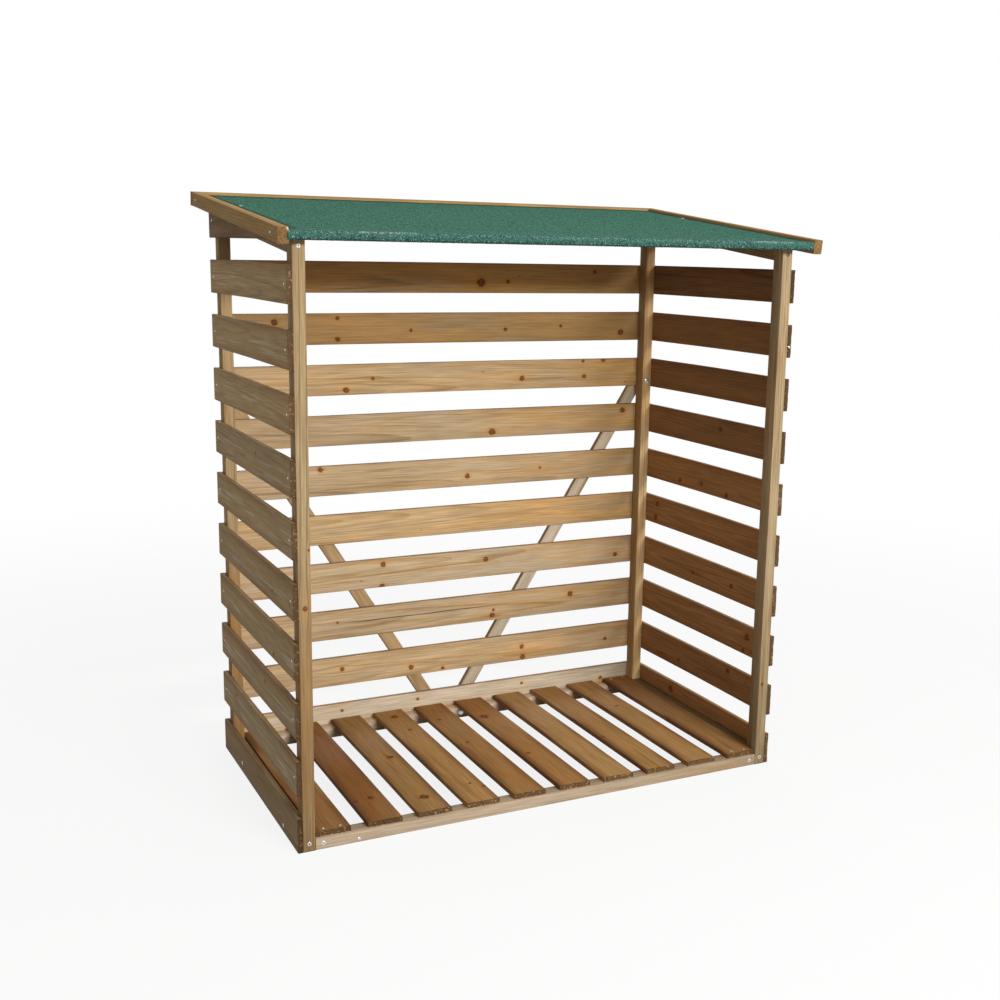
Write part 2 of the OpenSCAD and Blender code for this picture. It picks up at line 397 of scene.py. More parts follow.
def worn_edges(wood, colour, spare, fibre, patch, edge, stain, narrow_shade):
    """Darkens the worn arrises, paints shade on the narrow sides, stains what lies near them and bares fresh
    wood.
    """
    to_end, to_side, to_face = wood.split(spare)
    less, more = wood.math("MINIMUM", to_side, to_face), wood.math("MAXIMUM", to_side, to_face)
    second = wood.math("MAXIMUM", less, wood.math("MINIMUM", more, to_end))
    worn = wood.swing(fibre, EDGE_WIDTH, second)
    colour = wood.mix(wood.smooth(worn, EDGE_WIDTH, 0.0, 0.0, edge), colour, EDGE_WEAR_AND_SHADE_COLOUR)
    # Painted shade on the narrow sides.
    colour = wood.mix(wood.smooth(to_side, NARROW_SHADE_DEPTH, 0.0, 0.0, narrow_shade), colour, EDGE_WEAR_AND_SHADE_COLOUR)
    blotch = wood.math("MULTIPLY", wood.smooth(patch, *STAIN_PATCH), stain)
    stained = wood.math("MULTIPLY", wood.smooth(to_side, STAIN_WIDTH, 0.0), blotch)
    colour = wood.mix(stained, colour, STAIN_COLOUR)
    fresh = wood.smooth(wood.math("MINIMUM", less, to_end), *FRESH_DEPTH)
    return wood.mix(fresh, colour, FRESH_COLOUR)


print("edges are worn", EDGE_WIDTH * 1000, "mm wide")

# %% [markdown]
# A saw cut is where the distance to the end is next to nothing. There the open pores are dark, with a few
# pale chips where fibres tore out.

# %% Saw cuts
SAW_CUT_DEPTH, CUT_SHARE = 0.0007, 0.9
PORE_SCALE, PORE_RANGE = 420.0, (0.52, 0.36)
CHIP_SCALE, CHIP_PORES, CHIP_RANGE = 120.0, 0.35, (0.76, 0.86, 0.0)
DEEP_COLOUR, TORN_COLOUR = paint(0.06, 0.028, 0.013), paint(0.56, 0.375, 0.17)


def saw_cuts_on(wood, colour, spot, spare, end, chips):
    """Lays end grain over a colour, and gives the height of the torn fibres with it."""
    pores = wood.noise(spot, MEDIUM, PORE_SCALE)
    cut = wood.smooth(wood.split(spare)[0], SAW_CUT_DEPTH * 2, SAW_CUT_DEPTH)
    open_end = wood.mix(wood.smooth(pores, *PORE_RANGE), end, DEEP_COLOUR)
    flakes = wood.math("MULTIPLY_ADD", pores, CHIP_PORES, wood.noise(spot, SOFT, CHIP_SCALE))
    open_end = wood.mix(wood.smooth(flakes, *CHIP_RANGE, chips), open_end, TORN_COLOUR)
    colour = wood.mix(wood.math("MULTIPLY", cut, CUT_SHARE), colour, open_end)
    return colour, wood.math("MULTIPLY", cut, pores)


print("saw cuts reach", SAW_CUT_DEPTH * 1000, "mm deep")

# %% [markdown]
# The outer faces of the sides have been rubbed, and pale smears run along just below their middle. They are
# noise drawn out along the board, which shows only near one line and towards the outer face.

# %% Smears
SMEAR_STRETCH, SMEAR_RANGE = (4.5, 100.0, 100.0), (0.5, 0.66, 0.0)
SMEAR_BELOW, SMEAR_REACH = 0.008, 0.045
OUTER_SKIN = (0.001, 0.005)
SMEAR_COLOUR = paint(0.82, 0.7, 0.54)


def smeared(wood, colour, spot, across, through, bloom, smear):
    """Rubs pale smears along the outer face of a board."""
    rubbed = wood.smooth(wood.drawn_noise(spot, SMEAR_STRETCH, ROUGH), *SMEAR_RANGE, smear)
    off_line = wood.math("ABSOLUTE", wood.math("ADD", across, SMEAR_BELOW))
    rubbed = wood.math("MULTIPLY", rubbed, wood.smooth(off_line, SMEAR_REACH, 0.0))
    rubbed = wood.math("MULTIPLY", wood.math("MULTIPLY", rubbed, bloom), wood.smooth(through, *OUTER_SKIN))
    return wood.mix(rubbed, colour, SMEAR_COLOUR)


print("smears lie", SMEAR_BELOW * 1000, "mm below the middle")

# %% [markdown]
# Then everything is put together. Fibres, hairs, scratches, patches and weather are all noise, drawn out
# along the board by different amounts. The three numbers of the tone decide how much of the warm patches and
# of the grey weather a board gets, and where it is grey the rings are faint. The inner faces of a side are
# tinted darker and browner: partly less weathered wood, partly painted shade inside the store.

# %% Timber finish
FIBRE_STRETCH, FIBRE_DEPTH = (9.0, 260.0, 260.0), 0.95
HAIR_STRETCH, HAIR_DEPTH = (16.0, 1300.0, 1300.0), 0.4
PATCH_STRETCH, PATCH_DEPTH = (2.5, 16.0, 16.0), 0.5
SCRATCH_STRETCH, SCRATCH_RANGE = (14.0, 170.0, 170.0), (0.6, 0.72, 0.0, 0.5)
WEATHER_STRETCH = (3.0, 46.0, 46.0)
FAINT_RANGE, FAINT_SHARE = (0.4, 2.0), 0.25
STREAK_RANGE = (0.46, 0.3, 0.0, 0.5)
WARM_RANGE, BLOOM_RANGE = (0.3, 0.7, 0.25, 0.75), (0.35, 0.7)
INNER_SHADE_RANGE = (0.002, -0.006)
CRACK_SHARE = 0.9
RING_RISE, HAIR_RISE, TORN_RISE, CRACK_RISE = 0.5, 0.6, 3.0, -2.0
TIMBER_BUMP = (0.35, 0.0006)
TIMBER_ROUGH = (0.2, 0.8, 0.58, 0.76)
TIMBER_SHEEN = 0.1
SCRATCH_COLOUR = paint(0.56, 0.49, 0.4)
END_GRAIN = paint(0.1, 0.06, 0.032)


def timber(name, pale, dark, warm, grey, inner_tint_and_shade=None, end=END_GRAIN, ring=0.005, contrast=0.8,
           edge=0.3, stain=0.1, narrow_shade=0.0, smear=0.0, chips=0.2):
    """Treated softwood with its own colours, and a tint for the faces that look inwards: less weathered wood
    and painted shade.
    """
    wood = Finish(name)
    place = wood.own("board")
    light, warmth, bloom = wood.split(wood.own("tone"))
    spot = wood.vector("ADD", place, wood.own("log"))
    along, across, through = wood.split(place)
    inwards = wood.add("VectorMath", {0: place}, operation="ABSOLUTE").outputs[0]
    spare = wood.vector("SUBTRACT", wood.own("half"), inwards)

    nearest, flare, swerve = knots_in(wood, along, across)
    late = year_rings(wood, spot, swerve, ring)
    fibre = wood.drawn_noise(spot, FIBRE_STRETCH, ROUGH)
    hair = wood.drawn_noise(spot, HAIR_STRETCH, SOFT)
    scratch = wood.drawn_noise(spot, SCRATCH_STRETCH, MEDIUM)
    patch = wood.drawn_noise(spot, PATCH_STRETCH, SOFT)
    weather = wood.drawn_noise(spot, WEATHER_STRETCH, ROUGH)

    rings = wood.math("MULTIPLY", late, wood.smooth(bloom, *FAINT_RANGE, contrast, contrast * FAINT_SHARE))
    colour = wood.mix(rings, pale, dark)
    colour = wood.mix(wood.smooth(weather, *STREAK_RANGE), colour, dark)
    colour = wood.mix(wood.math("MULTIPLY", warmth, wood.smooth(patch, *WARM_RANGE)), colour, warm)
    colour = wood.mix(wood.math("MULTIPLY", bloom, wood.smooth(weather, *BLOOM_RANGE)), colour, grey)
    scuffed = wood.math("MULTIPLY", bloom, wood.smooth(scratch, *SCRATCH_RANGE))
    colour = wood.mix(scuffed, colour, SCRATCH_COLOUR)
    if smear:
        colour = smeared(wood, colour, spot, across, through, bloom, smear)
    # Painted shade, with the browner tint of less weathered wood, on the faces that look inwards.
    if inner_tint_and_shade:
        colour = wood.mix(wood.smooth(through, *INNER_SHADE_RANGE), colour, inner_tint_and_shade, "MULTIPLY")
    colour = knot_marks(wood, colour, spot, nearest, flare, fibre, wood.split(spare)[2])
    crack = drying_check(wood, along, across, patch)
    colour = wood.mix(wood.math("MULTIPLY", crack, CRACK_SHARE), colour, CHECK_COLOUR)
    colour = worn_edges(wood, colour, spare, fibre, patch, edge, stain, narrow_shade)
    colour, torn = saw_cuts_on(wood, colour, spot, spare, end, chips)

    gain = 1.0
    for chance, depth in ((fibre, FIBRE_DEPTH), (hair, HAIR_DEPTH), (patch, PATCH_DEPTH)):
        gain = wood.swing(chance, depth, gain)
    colour = wood.scale(colour, wood.math("MULTIPLY", gain, light))
    height = fibre
    for bump, rise in ((hair, HAIR_RISE), (late, RING_RISE), (torn, TORN_RISE), (crack, CRACK_RISE)):
        height = wood.math("MULTIPLY_ADD", bump, rise, height)
    wood.bump(height, *TIMBER_BUMP)
    roughness = wood.smooth(weather, *TIMBER_ROUGH)
    wood.shade(base_color=colour, roughness=roughness, specular_ior_level=TIMBER_SHEEN)


print("fibres are drawn out", round(FIBRE_STRETCH[1] / FIBRE_STRETCH[0]), "times")

# %% [markdown]
# Seven timbers use it. The four colours of each are its pale wood, its dark wood, its warm patches and its
# grey weather, and what differs from the usual board is named behind them.

# %% Timbers
timber("frame_timber", paint(0.475, 0.363, 0.202), paint(0.22, 0.14, 0.06), paint(0.43, 0.25, 0.095),
       paint(0.41, 0.34, 0.225), ring=0.0075, contrast=1.0, stain=0.3)
# The inner tint of the side slats is partly less weathered wood and partly painted shade inside the store.
timber("side_slat_timber", paint(0.54, 0.375, 0.185), paint(0.3, 0.185, 0.08), paint(0.48, 0.295, 0.12),
       paint(0.53, 0.42, 0.26), inner_tint_and_shade=paint(0.76, 0.6, 0.53), end=paint(0.07, 0.037, 0.015),
       contrast=1.0, stain=0.5, smear=1.1, chips=0.35)
# The back slats get painted shade on their narrow top and bottom sides.
timber("back_slat_timber", paint(0.56, 0.4, 0.222), paint(0.3, 0.185, 0.08), paint(0.57, 0.33, 0.12),
       paint(0.56, 0.47, 0.345), contrast=1.0, edge=0.55, narrow_shade=0.75)
timber("floor_rail_timber", paint(0.61, 0.475, 0.33), paint(0.4, 0.285, 0.18), paint(0.52, 0.36, 0.2),
       paint(0.5, 0.42, 0.34), edge=0.25)
timber("floor_board_timber", paint(0.58, 0.33, 0.11), paint(0.3, 0.145, 0.043), paint(0.4, 0.165, 0.04),
       paint(0.5, 0.35, 0.17), end=paint(0.13, 0.075, 0.035), contrast=0.5, edge=0.6, stain=0.9, chips=0.75)
timber("deck_timber", paint(0.5, 0.35, 0.19), paint(0.33, 0.2, 0.09), paint(0.46, 0.28, 0.12),
       paint(0.42, 0.34, 0.25))
timber("barge_timber", paint(0.48, 0.305, 0.1), paint(0.24, 0.137, 0.038), paint(0.42, 0.235, 0.07),
       paint(0.39, 0.31, 0.16), end=paint(0.265, 0.144, 0.056), contrast=0.9, stain=0.35, chips=0.3)
print("timber finishes:", [name for name in finishes if name.endswith("timber")])

# %% [markdown]
# ## Working on a mesh as by hand
# The boards start as cubes. Operators act on what is selected, so these helpers do what hands and eyes do
# in the viewport: clear the selection, add the cube at its size and place, and pick verts, edges or faces
# by where they lie. In edit mode the moves go into the mesh and the object stays at the origin, which keeps
# every pattern where it was laid.

# %% Mesh helpers
SAME = 1e-5
ALONGSIDE = 0.999
AXIS_X, AXIS_Y, AXIS_Z = range(3)


def start_cube(name, low, high):
    """A cube at a piece's size and place, in edit mode and selected all over."""
    bpy.ops.object.select_all(action="DESELECT")
    bpy.ops.mesh.primitive_cube_add(size=1, enter_editmode=True)
    piece = bpy.context.object
    piece.name = piece.data.name = name
    bpy.ops.transform.resize(value=high - low)
    bpy.ops.transform.translate(value=(low + high) / 2)
    return piece


def pick(kind, wanted):
    """Selects the verts, edges or faces that pass a test, and says how many there are."""
    bpy.ops.mesh.select_mode(type=kind)
    bpy.ops.mesh.select_all(action="DESELECT")
    mesh = bpy.context.edit_object.data
    shape = bmesh.from_edit_mesh(mesh)
    parts = {"VERT": shape.verts, "EDGE": shape.edges, "FACE": shape.faces}[kind]
    picked = [part for part in parts if wanted(part)]
    for part in picked:
        part.select_set(True)
    bmesh.update_edit_mesh(mesh)
    return len(picked)


def runs_along(edge, axis):
    """Whether an edge lies along the axis of that number."""
    way = edge.verts[1].co - edge.verts[0].co
    return abs(way[axis]) > ALONGSIDE * way.length


def slice_off(point, outwards):
    """Cuts away what lies beyond a plane, and closes the cut."""
    bpy.ops.mesh.select_all(action="SELECT")
    bpy.ops.mesh.bisect(plane_co=point, plane_no=outwards, use_fill=True, clear_outer=True)


def leave_edit():
    """Back to object mode with the normals outwards."""
    bpy.ops.mesh.select_all(action="SELECT")
    bpy.ops.mesh.normals_make_consistent(inside=False)
    bpy.ops.object.mode_set(mode="OBJECT")


print("points within", SAME * 1000, "mm count as the same")

# %% [markdown]
# Whole objects are handled alike: one is taken alone, opened in edit mode, or joined with others.
# Proportional editing moves what is selected and takes its surroundings along, less and less up to a reach.

# %% Object helpers
def take(piece):
    """Selects one piece alone and makes it the active one."""
    bpy.ops.object.select_all(action="DESELECT")
    piece.select_set(True)
    bpy.context.view_layer.objects.active = piece


def enter_edit(piece):
    """Edit mode on one piece alone."""
    take(piece)
    bpy.ops.object.mode_set(mode="EDIT")


def join_as(name, pieces):
    """Joins pieces into the first of them."""
    take(pieces[0])
    for piece in pieces:
        piece.select_set(True)
    bpy.ops.object.join()
    pieces[0].name = pieces[0].data.name = name
    return pieces[0]


def pull_aside(value, reach):
    """Moves what is selected, and what lies within reach less and less."""
    bpy.ops.transform.translate(value=value, use_proportional_edit=True, proportional_size=reach,
                                proportional_edit_falloff="SMOOTH")


print("object helpers ready:", [helper.__name__ for helper in (take, enter_edit, join_as, pull_aside)])

# %% [markdown]
# Sizes are read from the solids. A solid may hold several boards with gaps between them: sorted by where
# their faces begin and end along one axis, faces that overlap belong to one board. The slope of the roof is
# read from the top of the fascia, and gives three axes for all that lies on the roof.

# %% Reading the solids
def spans(node, axes, split=None):
    """The lowest and highest places of a solid along three axes, or of each board along the split axis."""
    mesh = nodes[node].data
    places = [Vector([axis.dot(v.co) for axis in axes]) for v in mesh.vertices]
    boards = [[-math.inf, math.inf]]
    if split is not None:
        reaches = sorted(sorted(places[i][split] for i in face.vertices)[::2] for face in mesh.polygons)
        boards = [reaches[0]]
        for low, high in reaches:
            if low < boards[-1][1] + SAME:
                boards[-1][1] = max(boards[-1][1], high)
            else:
                boards.append([low, high])
    corners = []
    for low, high in boards:
        inside = [place for place in places if split is None or low - SAME < place[split] < high + SAME]
        columns = list(zip(*inside))
        corners.append((Vector(map(min, columns)), Vector(map(max, columns))))
    return corners


X, Y, Z = Vector((1, 0, 0)), Vector((0, 1, 0)), Vector((0, 0, 1))
WORLD_AXES = (X, Y, Z)
roof_up = max((face.normal for face in nodes["back_fascia"].data.polygons), key=lambda way: way.z).copy()
ROOF_PITCH = math.atan2(-roof_up.y, roof_up.z)
roof_rise = Vector((0, math.cos(ROOF_PITCH), math.sin(ROOF_PITCH)))
ROOF_AXES = (X, roof_rise, roof_up)
print("roof pitch", round(math.degrees(ROOF_PITCH), 2), "degrees")

# %% [markdown]
# ## A board
# Planed softwood has small round arrises, so the long edges are bevelled and the sawn ends stay sharp. Rings
# are cut along the length by subdividing the long edges, for the bends that come later. A board that slopes
# is then turned from the flat, and saw cuts come last, as bisects.

# %% Boards
EASE, EASE_SEGMENTS = 0.0016, 2
RING_STEP = 0.12
ORIGIN = (0.0, 0.0, 0.0)


def longest_axis(low, high):
    """The number of the axis that a board runs along."""
    size = high - low
    return max(range(3), key=lambda i: size[i])


def shape_board(name, low, high, turn=None, saw_cuts=()):
    """A planed board: eased along its edges, turned if it slopes, and sawn off by planes."""
    piece = start_cube(name, low, high)
    axis = longest_axis(low, high)
    pick("EDGE", lambda edge: runs_along(edge, axis))
    bpy.ops.mesh.bevel(offset=EASE, segments=EASE_SEGMENTS, affect="EDGES")
    pick("EDGE", lambda edge: runs_along(edge, axis))
    bpy.ops.mesh.subdivide(number_cuts=2 * round((high[axis] - low[axis]) / RING_STEP / 2) + 1)
    if turn:
        bpy.ops.mesh.select_all(action="SELECT")
        bpy.ops.transform.rotate(value=-turn[1], orient_axis=turn[0], center_override=ORIGIN)
    for point, outwards in saw_cuts:
        slice_off(point, outwards)
    leave_edit()
    return piece


print("arrises of", EASE * 1000, "mm, ring cuts every", RING_STEP * 1000, "mm")

# %% [markdown]
# Time then works on the board. Its middle is pulled aside by proportional editing, a millimetre or two, since
# no slat stays dead straight in the open. A coarse saw also tears the end of a board: the edges of the
# cut face are subdivided into strips, and the strips are pushed in by up to three steps at random.

# %% Bowed boards and torn ends
TEAR_STEPS = 3
DIGITS = 5


def bow_board(piece, axis, low, high, bow):
    """Pulls the middle of a board aside, less and less towards its ends."""
    enter_edit(piece)
    length = high[axis] - low[axis]
    middle = (high[axis] + low[axis]) / 2
    pick("VERT", lambda vert: abs(vert.co[axis] - middle) < RING_STEP / 4)
    pull_aside(bow, length / 2)
    leave_edit()


def tear_end(piece, axis, end, across, depth, strips, dice):
    """Roughens the sawn end of a board that lies at that place on its axis."""
    enter_edit(piece)
    pick("EDGE", lambda edge: all(abs(v.co[axis] - end) < SAME for v in edge.verts)
         and runs_along(edge, across))
    bpy.ops.mesh.subdivide(number_cuts=strips)
    shape = bmesh.from_edit_mesh(piece.data)
    middle = sum(v.co[axis] for v in shape.verts) / len(shape.verts)
    inwards = math.copysign(depth / TEAR_STEPS, middle - end)
    columns = sorted({round(v.co[across], DIGITS) for v in shape.verts if abs(v.co[axis] - end) < SAME})
    pushes = {place: dice.randint(0, TEAR_STEPS) for place in columns}
    for step in range(TEAR_STEPS):
        deeper = {place for place, push in pushes.items() if push > step}
        if pick("VERT", lambda vert: round(vert.co[across], DIGITS) in deeper
                and abs(vert.co[axis] - end) < depth + SAME):
            bpy.ops.transform.translate(value=[inwards if i == axis else 0.0 for i in range(3)])
    leave_edit()


print("ends are torn in", TEAR_STEPS, "steps")

# %% [markdown]
# A finished board then gets its coordinates. Along, across and out of its best face are three directions, and
# each vertex stores how far it lies from the middle of the board in all three. The heart of the log and the
# knots are the same all over a board, so that even a set of joined boards keeps them apart. The tone may
# fade towards one end.

# %% Grain
LOG_LENGTH = 12.0
END_WARMTH = 7.0
HEART_ASIDE = 0.05
HEART_NEAR, HEART_FAR = 0.018, 0.075
GRAIN_SEED = 41
grain_dice = random.Random(GRAIN_SEED)


def store(mesh, name, values):
    """Writes one vector for each vertex."""
    layer = mesh.attributes.new(name, "FLOAT_VECTOR", "POINT")
    layer.data.foreach_set("vector", [number for value in values for number in value])


def lay_grain(piece, along, out, tone, knots=(), check=NO_CHECK, fade=0.0, warmth=END_WARMTH, heart=None):
    """Gives a board its coordinates, its place in the log, its knots, a check and a tone.

    The tone fades to the foot of the board, or to its head if the fade is below nought.
    """
    mesh = piece.data
    axes = (along, out.cross(along), out)
    places = [Vector([axis.dot(v.co) for axis in axes]) for v in mesh.vertices]
    columns = list(zip(*places))
    low, high = Vector(map(min, columns)), Vector(map(max, columns))
    count = len(places)
    side = grain_dice.choice((-1, 1))
    chance = (grain_dice.uniform(0, LOG_LENGTH), grain_dice.uniform(-HEART_ASIDE, HEART_ASIDE),
              side * grain_dice.uniform(HEART_NEAR, HEART_FAR))
    heart = (chance[0], *(heart or chance[1:]))
    store(mesh, "board", [place - (low + high) / 2 for place in places])
    store(mesh, "half", [(high - low) / 2] * count)
    store(mesh, "log", [heart] * count)
    towards = math.copysign(2.0, fade) / (high.x - low.x)
    shares = [abs(fade) * max(0.0, towards * ((low.x + high.x) / 2 - place.x)) for place in places]
    store(mesh, "tone", [(tone[0] * (1.0 - share), tone[1] + warmth * share, tone[2]) for share in shares])
    store(mesh, "check", [check] * count)
    for number in range(KNOT_COUNT):
        knot = knots[number] if number < len(knots) else NO_KNOT
        store(mesh, f"knot_{number + 1}", [knot] * count)


print("grain is drawn from a log of", LOG_LENGTH, "m")

# %% [markdown]
# Where the exact marks don't matter, a board gets its tone and a few knots by chance, always from the same
# seeded dice. A finished piece is handed over: it takes the finish named like its slot, is shaded smooth up
# to an angle and rides on the one body of the store, and the solid of the frame that it stands for, if there
# is one, is hidden.

# %% Chance and hand-over
LIGHT_SPREAD, TONE_SPREAD, KNOT_SPREAD = (0.93, 1.07), (0.4, 1.6), (0.5, 1.4)
SMOOTH_ANGLE = math.radians(35)


def any_tone(light, warm, grey):
    """A board's tone, a little off the usual one."""
    return (light * grain_dice.uniform(*LIGHT_SPREAD), warm * grain_dice.uniform(*TONE_SPREAD),
            grey * grain_dice.uniform(*TONE_SPREAD))


def any_knots(half_length, half_width, most, radius):
    """A few knots anywhere on a board."""
    return [(grain_dice.uniform(-half_length, half_length), grain_dice.uniform(-half_width, half_width),
             radius * grain_dice.uniform(*KNOT_SPREAD)) for _ in range(grain_dice.randint(0, most))]


def hand_over(piece, slot, *stands_for):
    """Gives a finished piece the finish named like its slot, smooth shading and its body, and hides the
    solids it stands for.
    """
    piece.data.materials.clear()
    piece.data.materials.append(finishes[slot])
    take(piece)
    bpy.ops.object.shade_smooth_by_angle(angle=SMOOTH_ANGLE)
    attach(piece, "root")
    if stands_for:
        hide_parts(*stands_for)


print("smooth up to", round(math.degrees(SMOOTH_ANGLE)), "degrees")

# %% [markdown]
# ## Posts
# Four planed posts stand at the corners, sawn off at the slope of the roof. A top could be moved down by its
# vertices, but a saw is closer to the trade: the post is made to its full height and a bisect along the roof
# takes the corner off. The two front posts are cut on the quarter: the heart of their log lies to one side,
# so the rings run down the front face as straight dark lines.

# %% Posts
POSTS = ("front_left_post", "front_right_post", "back_left_post", "back_right_post")
POST_KNOTS = {
    "front_left_post": [(-0.134, 0.0, 0.0065), (0.02, -0.012, 0.003)],
    "front_right_post": [(-0.54, 0.005, 0.004)],
}
# Post tones. The back right post is made much lighter as painted light, standing in for light on its front
# that the lamps don't give.
POST_TONES = {
    "front_left_post": (0.93, 0.3, 0.1),
    "front_right_post": (0.98, 0.1, 0.7),
    "back_left_post": (1.08, 0.6, 0.1),
    "back_right_post": (1.72, 0.9, 0.1),
}
# How the tone fades to the foot of each post; the back right post fades to its head instead, as painted shade
# under the roof.
POST_FADE_AND_SHADE = {
    "front_left_post": (0.3, 7.0),
    "front_right_post": (0.32, 1.0),
    "back_left_post": (0.3, 7.0),
    "back_right_post": (-0.3, 0.0),
}
POST_HEART = {"front_left_post": (0.07, 0.012), "front_right_post": (-0.075, 0.01)}
# Painted shade: the inner side of the back right post, and the front of the back left post under the roof.
SHADED_FACES = {"back_right_post": (AXIS_X, 0.0, 0.66, 0.0), "back_left_post": (AXIS_Y, 1.5, 0.58, 1.5)}
ANY_POST_KNOTS = (0.7, 0.007, 2, 0.004)


def highest_corner(node):
    """The highest point of a solid."""
    return max((v.co for v in nodes[node].data.vertices), key=lambda place: place.z).copy()


def shade_face(post, axis, above, share, warmth):
    """Paints shade on the low face of a post on an axis above a height, in a darker and warmer tone."""
    edge = min(v.co[axis] for v in post.data.vertices) + EASE / 2
    tones = post.data.attributes["tone"].data
    for vert in post.data.vertices:
        if vert.co[axis] < edge and vert.co.z > above:
            light, warm, grey = tones[vert.index].vector
            tones[vert.index].vector = (light * share, warm + warmth, grey)


for node in POSTS:
    post = shape_board(f"{node}_timber", *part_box(node), saw_cuts=[(highest_corner(node), roof_up)])
    found = POST_KNOTS.get(node) or any_knots(*ANY_POST_KNOTS)
    fade, warmth = POST_FADE_AND_SHADE[node]
    lay_grain(post, Z, -Y, POST_TONES[node], found, fade=fade, warmth=warmth, heart=POST_HEART.get(node))
    if node in SHADED_FACES:
        shade_face(post, *SHADED_FACES[node])
    hand_over(post, "frame_timber", node)
    print(post.name, "stands", round(highest_corner(node).z, 3), "m high")

# %% [markdown]
# ## Side rails
# Between the posts of a side run a rail under the roof and a rail on the ground. The upper one is a cube sawn
# along the slope twice, above and below, so that its ends stay upright against the posts.

# %% Side rails
TOP_RAIL_TONE = {"left": (0.95, 0.4, 0.35), "right": (0.64, 1.2, 0.1)}
# The right bottom rail is darkened as painted shade in the gap beside the last floor board.
BOTTOM_RAIL_TONE_AND_SHADE = {"left": (0.8, 0.8, 0.1), "right": (0.42, 1.2, 0.0)}


def lowest_corner(node):
    """The lowest point of a solid."""
    return min((v.co for v in nodes[node].data.vertices), key=lambda place: place.z).copy()


for side in ("left", "right"):
    node = f"{side}_top_rail"
    slopes = [(highest_corner(node), roof_up), (lowest_corner(node), -roof_up)]
    rail = shape_board(f"{node}_timber", *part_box(node), saw_cuts=slopes)
    lay_grain(rail, roof_rise, roof_up, any_tone(*TOP_RAIL_TONE[side]))
    hand_over(rail, "frame_timber", node)
    node = f"{side}_bottom_rail"
    rail = shape_board(f"{node}_timber", *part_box(node))
    lay_grain(rail, Y, Z, any_tone(*BOTTOM_RAIL_TONE_AND_SHADE[side]))
    hand_over(rail, "frame_timber", node)
    print(side, "rails made")

# %% [markdown]
# ## Side slats
# Ten slats close each side, nailed to the outside of the posts. They are alike but not equal: each is bowed
# its own way, and its sawn front end, which shows beside the post, is torn a little. The slats of one side
# share a node, so they are made one by one and joined at the end.

# %% Side slats
SLAT_BOW = 0.0016
SLAT_TEAR, SLAT_STRIPS = 0.0014, 7
SIDE_TONE = {"left": (1.0, 0.35, 0.7), "right": (1.0, 0.5, 0.5)}
# Lightness of each course of slats; the upper courses of the right side are darker as painted shade under the
# roof.
COURSE_TONE_AND_SHADE = {
    "left": (0.61, 0.83, 0.82, 0.89, 0.94, 0.98, 0.92, 1.09, 1.0, 1.02),
    "right": (1.17, 0.97, 1.01, 1.09, 1.07, 1.17, 0.84, 0.77, 0.82, 0.63),
}
COURSE_BLOOM = (0.2, 0.95, 0.55, 1.0, 0.95, 0.8, 0.6, 1.0, 0.45, 0.45)
RIGHT_KNOTS = {
    0: [(0.144, 0.019, 0.011)],
    1: [(-0.191, 0.03, 0.008), (0.1, -0.02, 0.005)],
    2: [(-0.285, 0.011, 0.01), (-0.269, -0.038, 0.007)],
    3: [(-0.186, -0.004, 0.007), (0.036, -0.012, 0.006)],
    4: [(0.276, 0.023, 0.008), (0.284, -0.026, 0.009)],
    5: [(0.14, -0.029, 0.007), (0.01, -0.019, 0.006), (-0.135, -0.033, 0.007)],
    6: [(-0.084, 0.016, 0.007)],
}
ANY_SLAT_KNOTS = (0.36, 0.04, 1, 0.005)
SHAPE_SEED = 7
shape_dice = random.Random(SHAPE_SEED)


def side_ways(side):
    """The directions along and out of a slat on that side."""
    return (Y, X) if side == "right" else (-Y, -X)


for side in ("left", "right"):
    along, out = side_ways(side)
    slats = []
    for course, (low, high) in enumerate(spans(f"{side}_side_slats", WORLD_AXES, AXIS_Z)):
        slat = shape_board(f"{side}_slat_{course}", low, high)
        found = RIGHT_KNOTS.get(course, []) if side == "right" else any_knots(*ANY_SLAT_KNOTS)
        light, warmth, bloom = any_tone(*SIDE_TONE[side])
        tone = (light * COURSE_TONE_AND_SHADE[side][course], warmth, bloom * COURSE_BLOOM[course])
        lay_grain(slat, along, out, tone, found)
        upwards = shape_dice.uniform(0, SLAT_BOW)
        bow_board(slat, AXIS_Y, low, high, (shape_dice.uniform(0, SLAT_BOW) * out.x, 0.0, upwards))
        tear_end(slat, AXIS_Y, low.y, AXIS_Z, SLAT_TEAR, SLAT_STRIPS, shape_dice)
        slats.append(slat)
    whole_side = join_as(f"{side}_side_slats_timber", slats)
    hand_over(whole_side, "side_slat_timber", f"{side}_side_slats")
    print(whole_side.name, "has", len(slats), "slats")

# %% [markdown]
# ## Gable slats
# Under the roof the last slat of a side is ripped to a wedge along the slope. It is cut like the posts.

# %% Gable slats
# The gable slats are darkened as painted shade under the barge boards.
GABLE_SHADE_TONE = (0.5, 1.2, 0.05)

for side in ("left", "right"):
    node = f"{side}_gable_slat"
    along, out = side_ways(side)
    wedge = shape_board(f"{node}_timber", *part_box(node), saw_cuts=[(highest_corner(node), roof_up)])
    lay_grain(wedge, along, out, any_tone(*GABLE_SHADE_TONE))
    hand_over(wedge, "side_slat_timber", node)
    print(wedge.name, "ripped at", round(math.degrees(ROOF_PITCH), 1), "degrees")

# %% [markdown]
# ## Back slats
# Eleven slats close the back. They face the open front, so their tones and knots are the most looked at: the
# lowest is pale and creamy, the fifth is yellow, and one has a long check that follows the grain. Knots
# are given by their place along and up from the middle of the slat, with their radius.

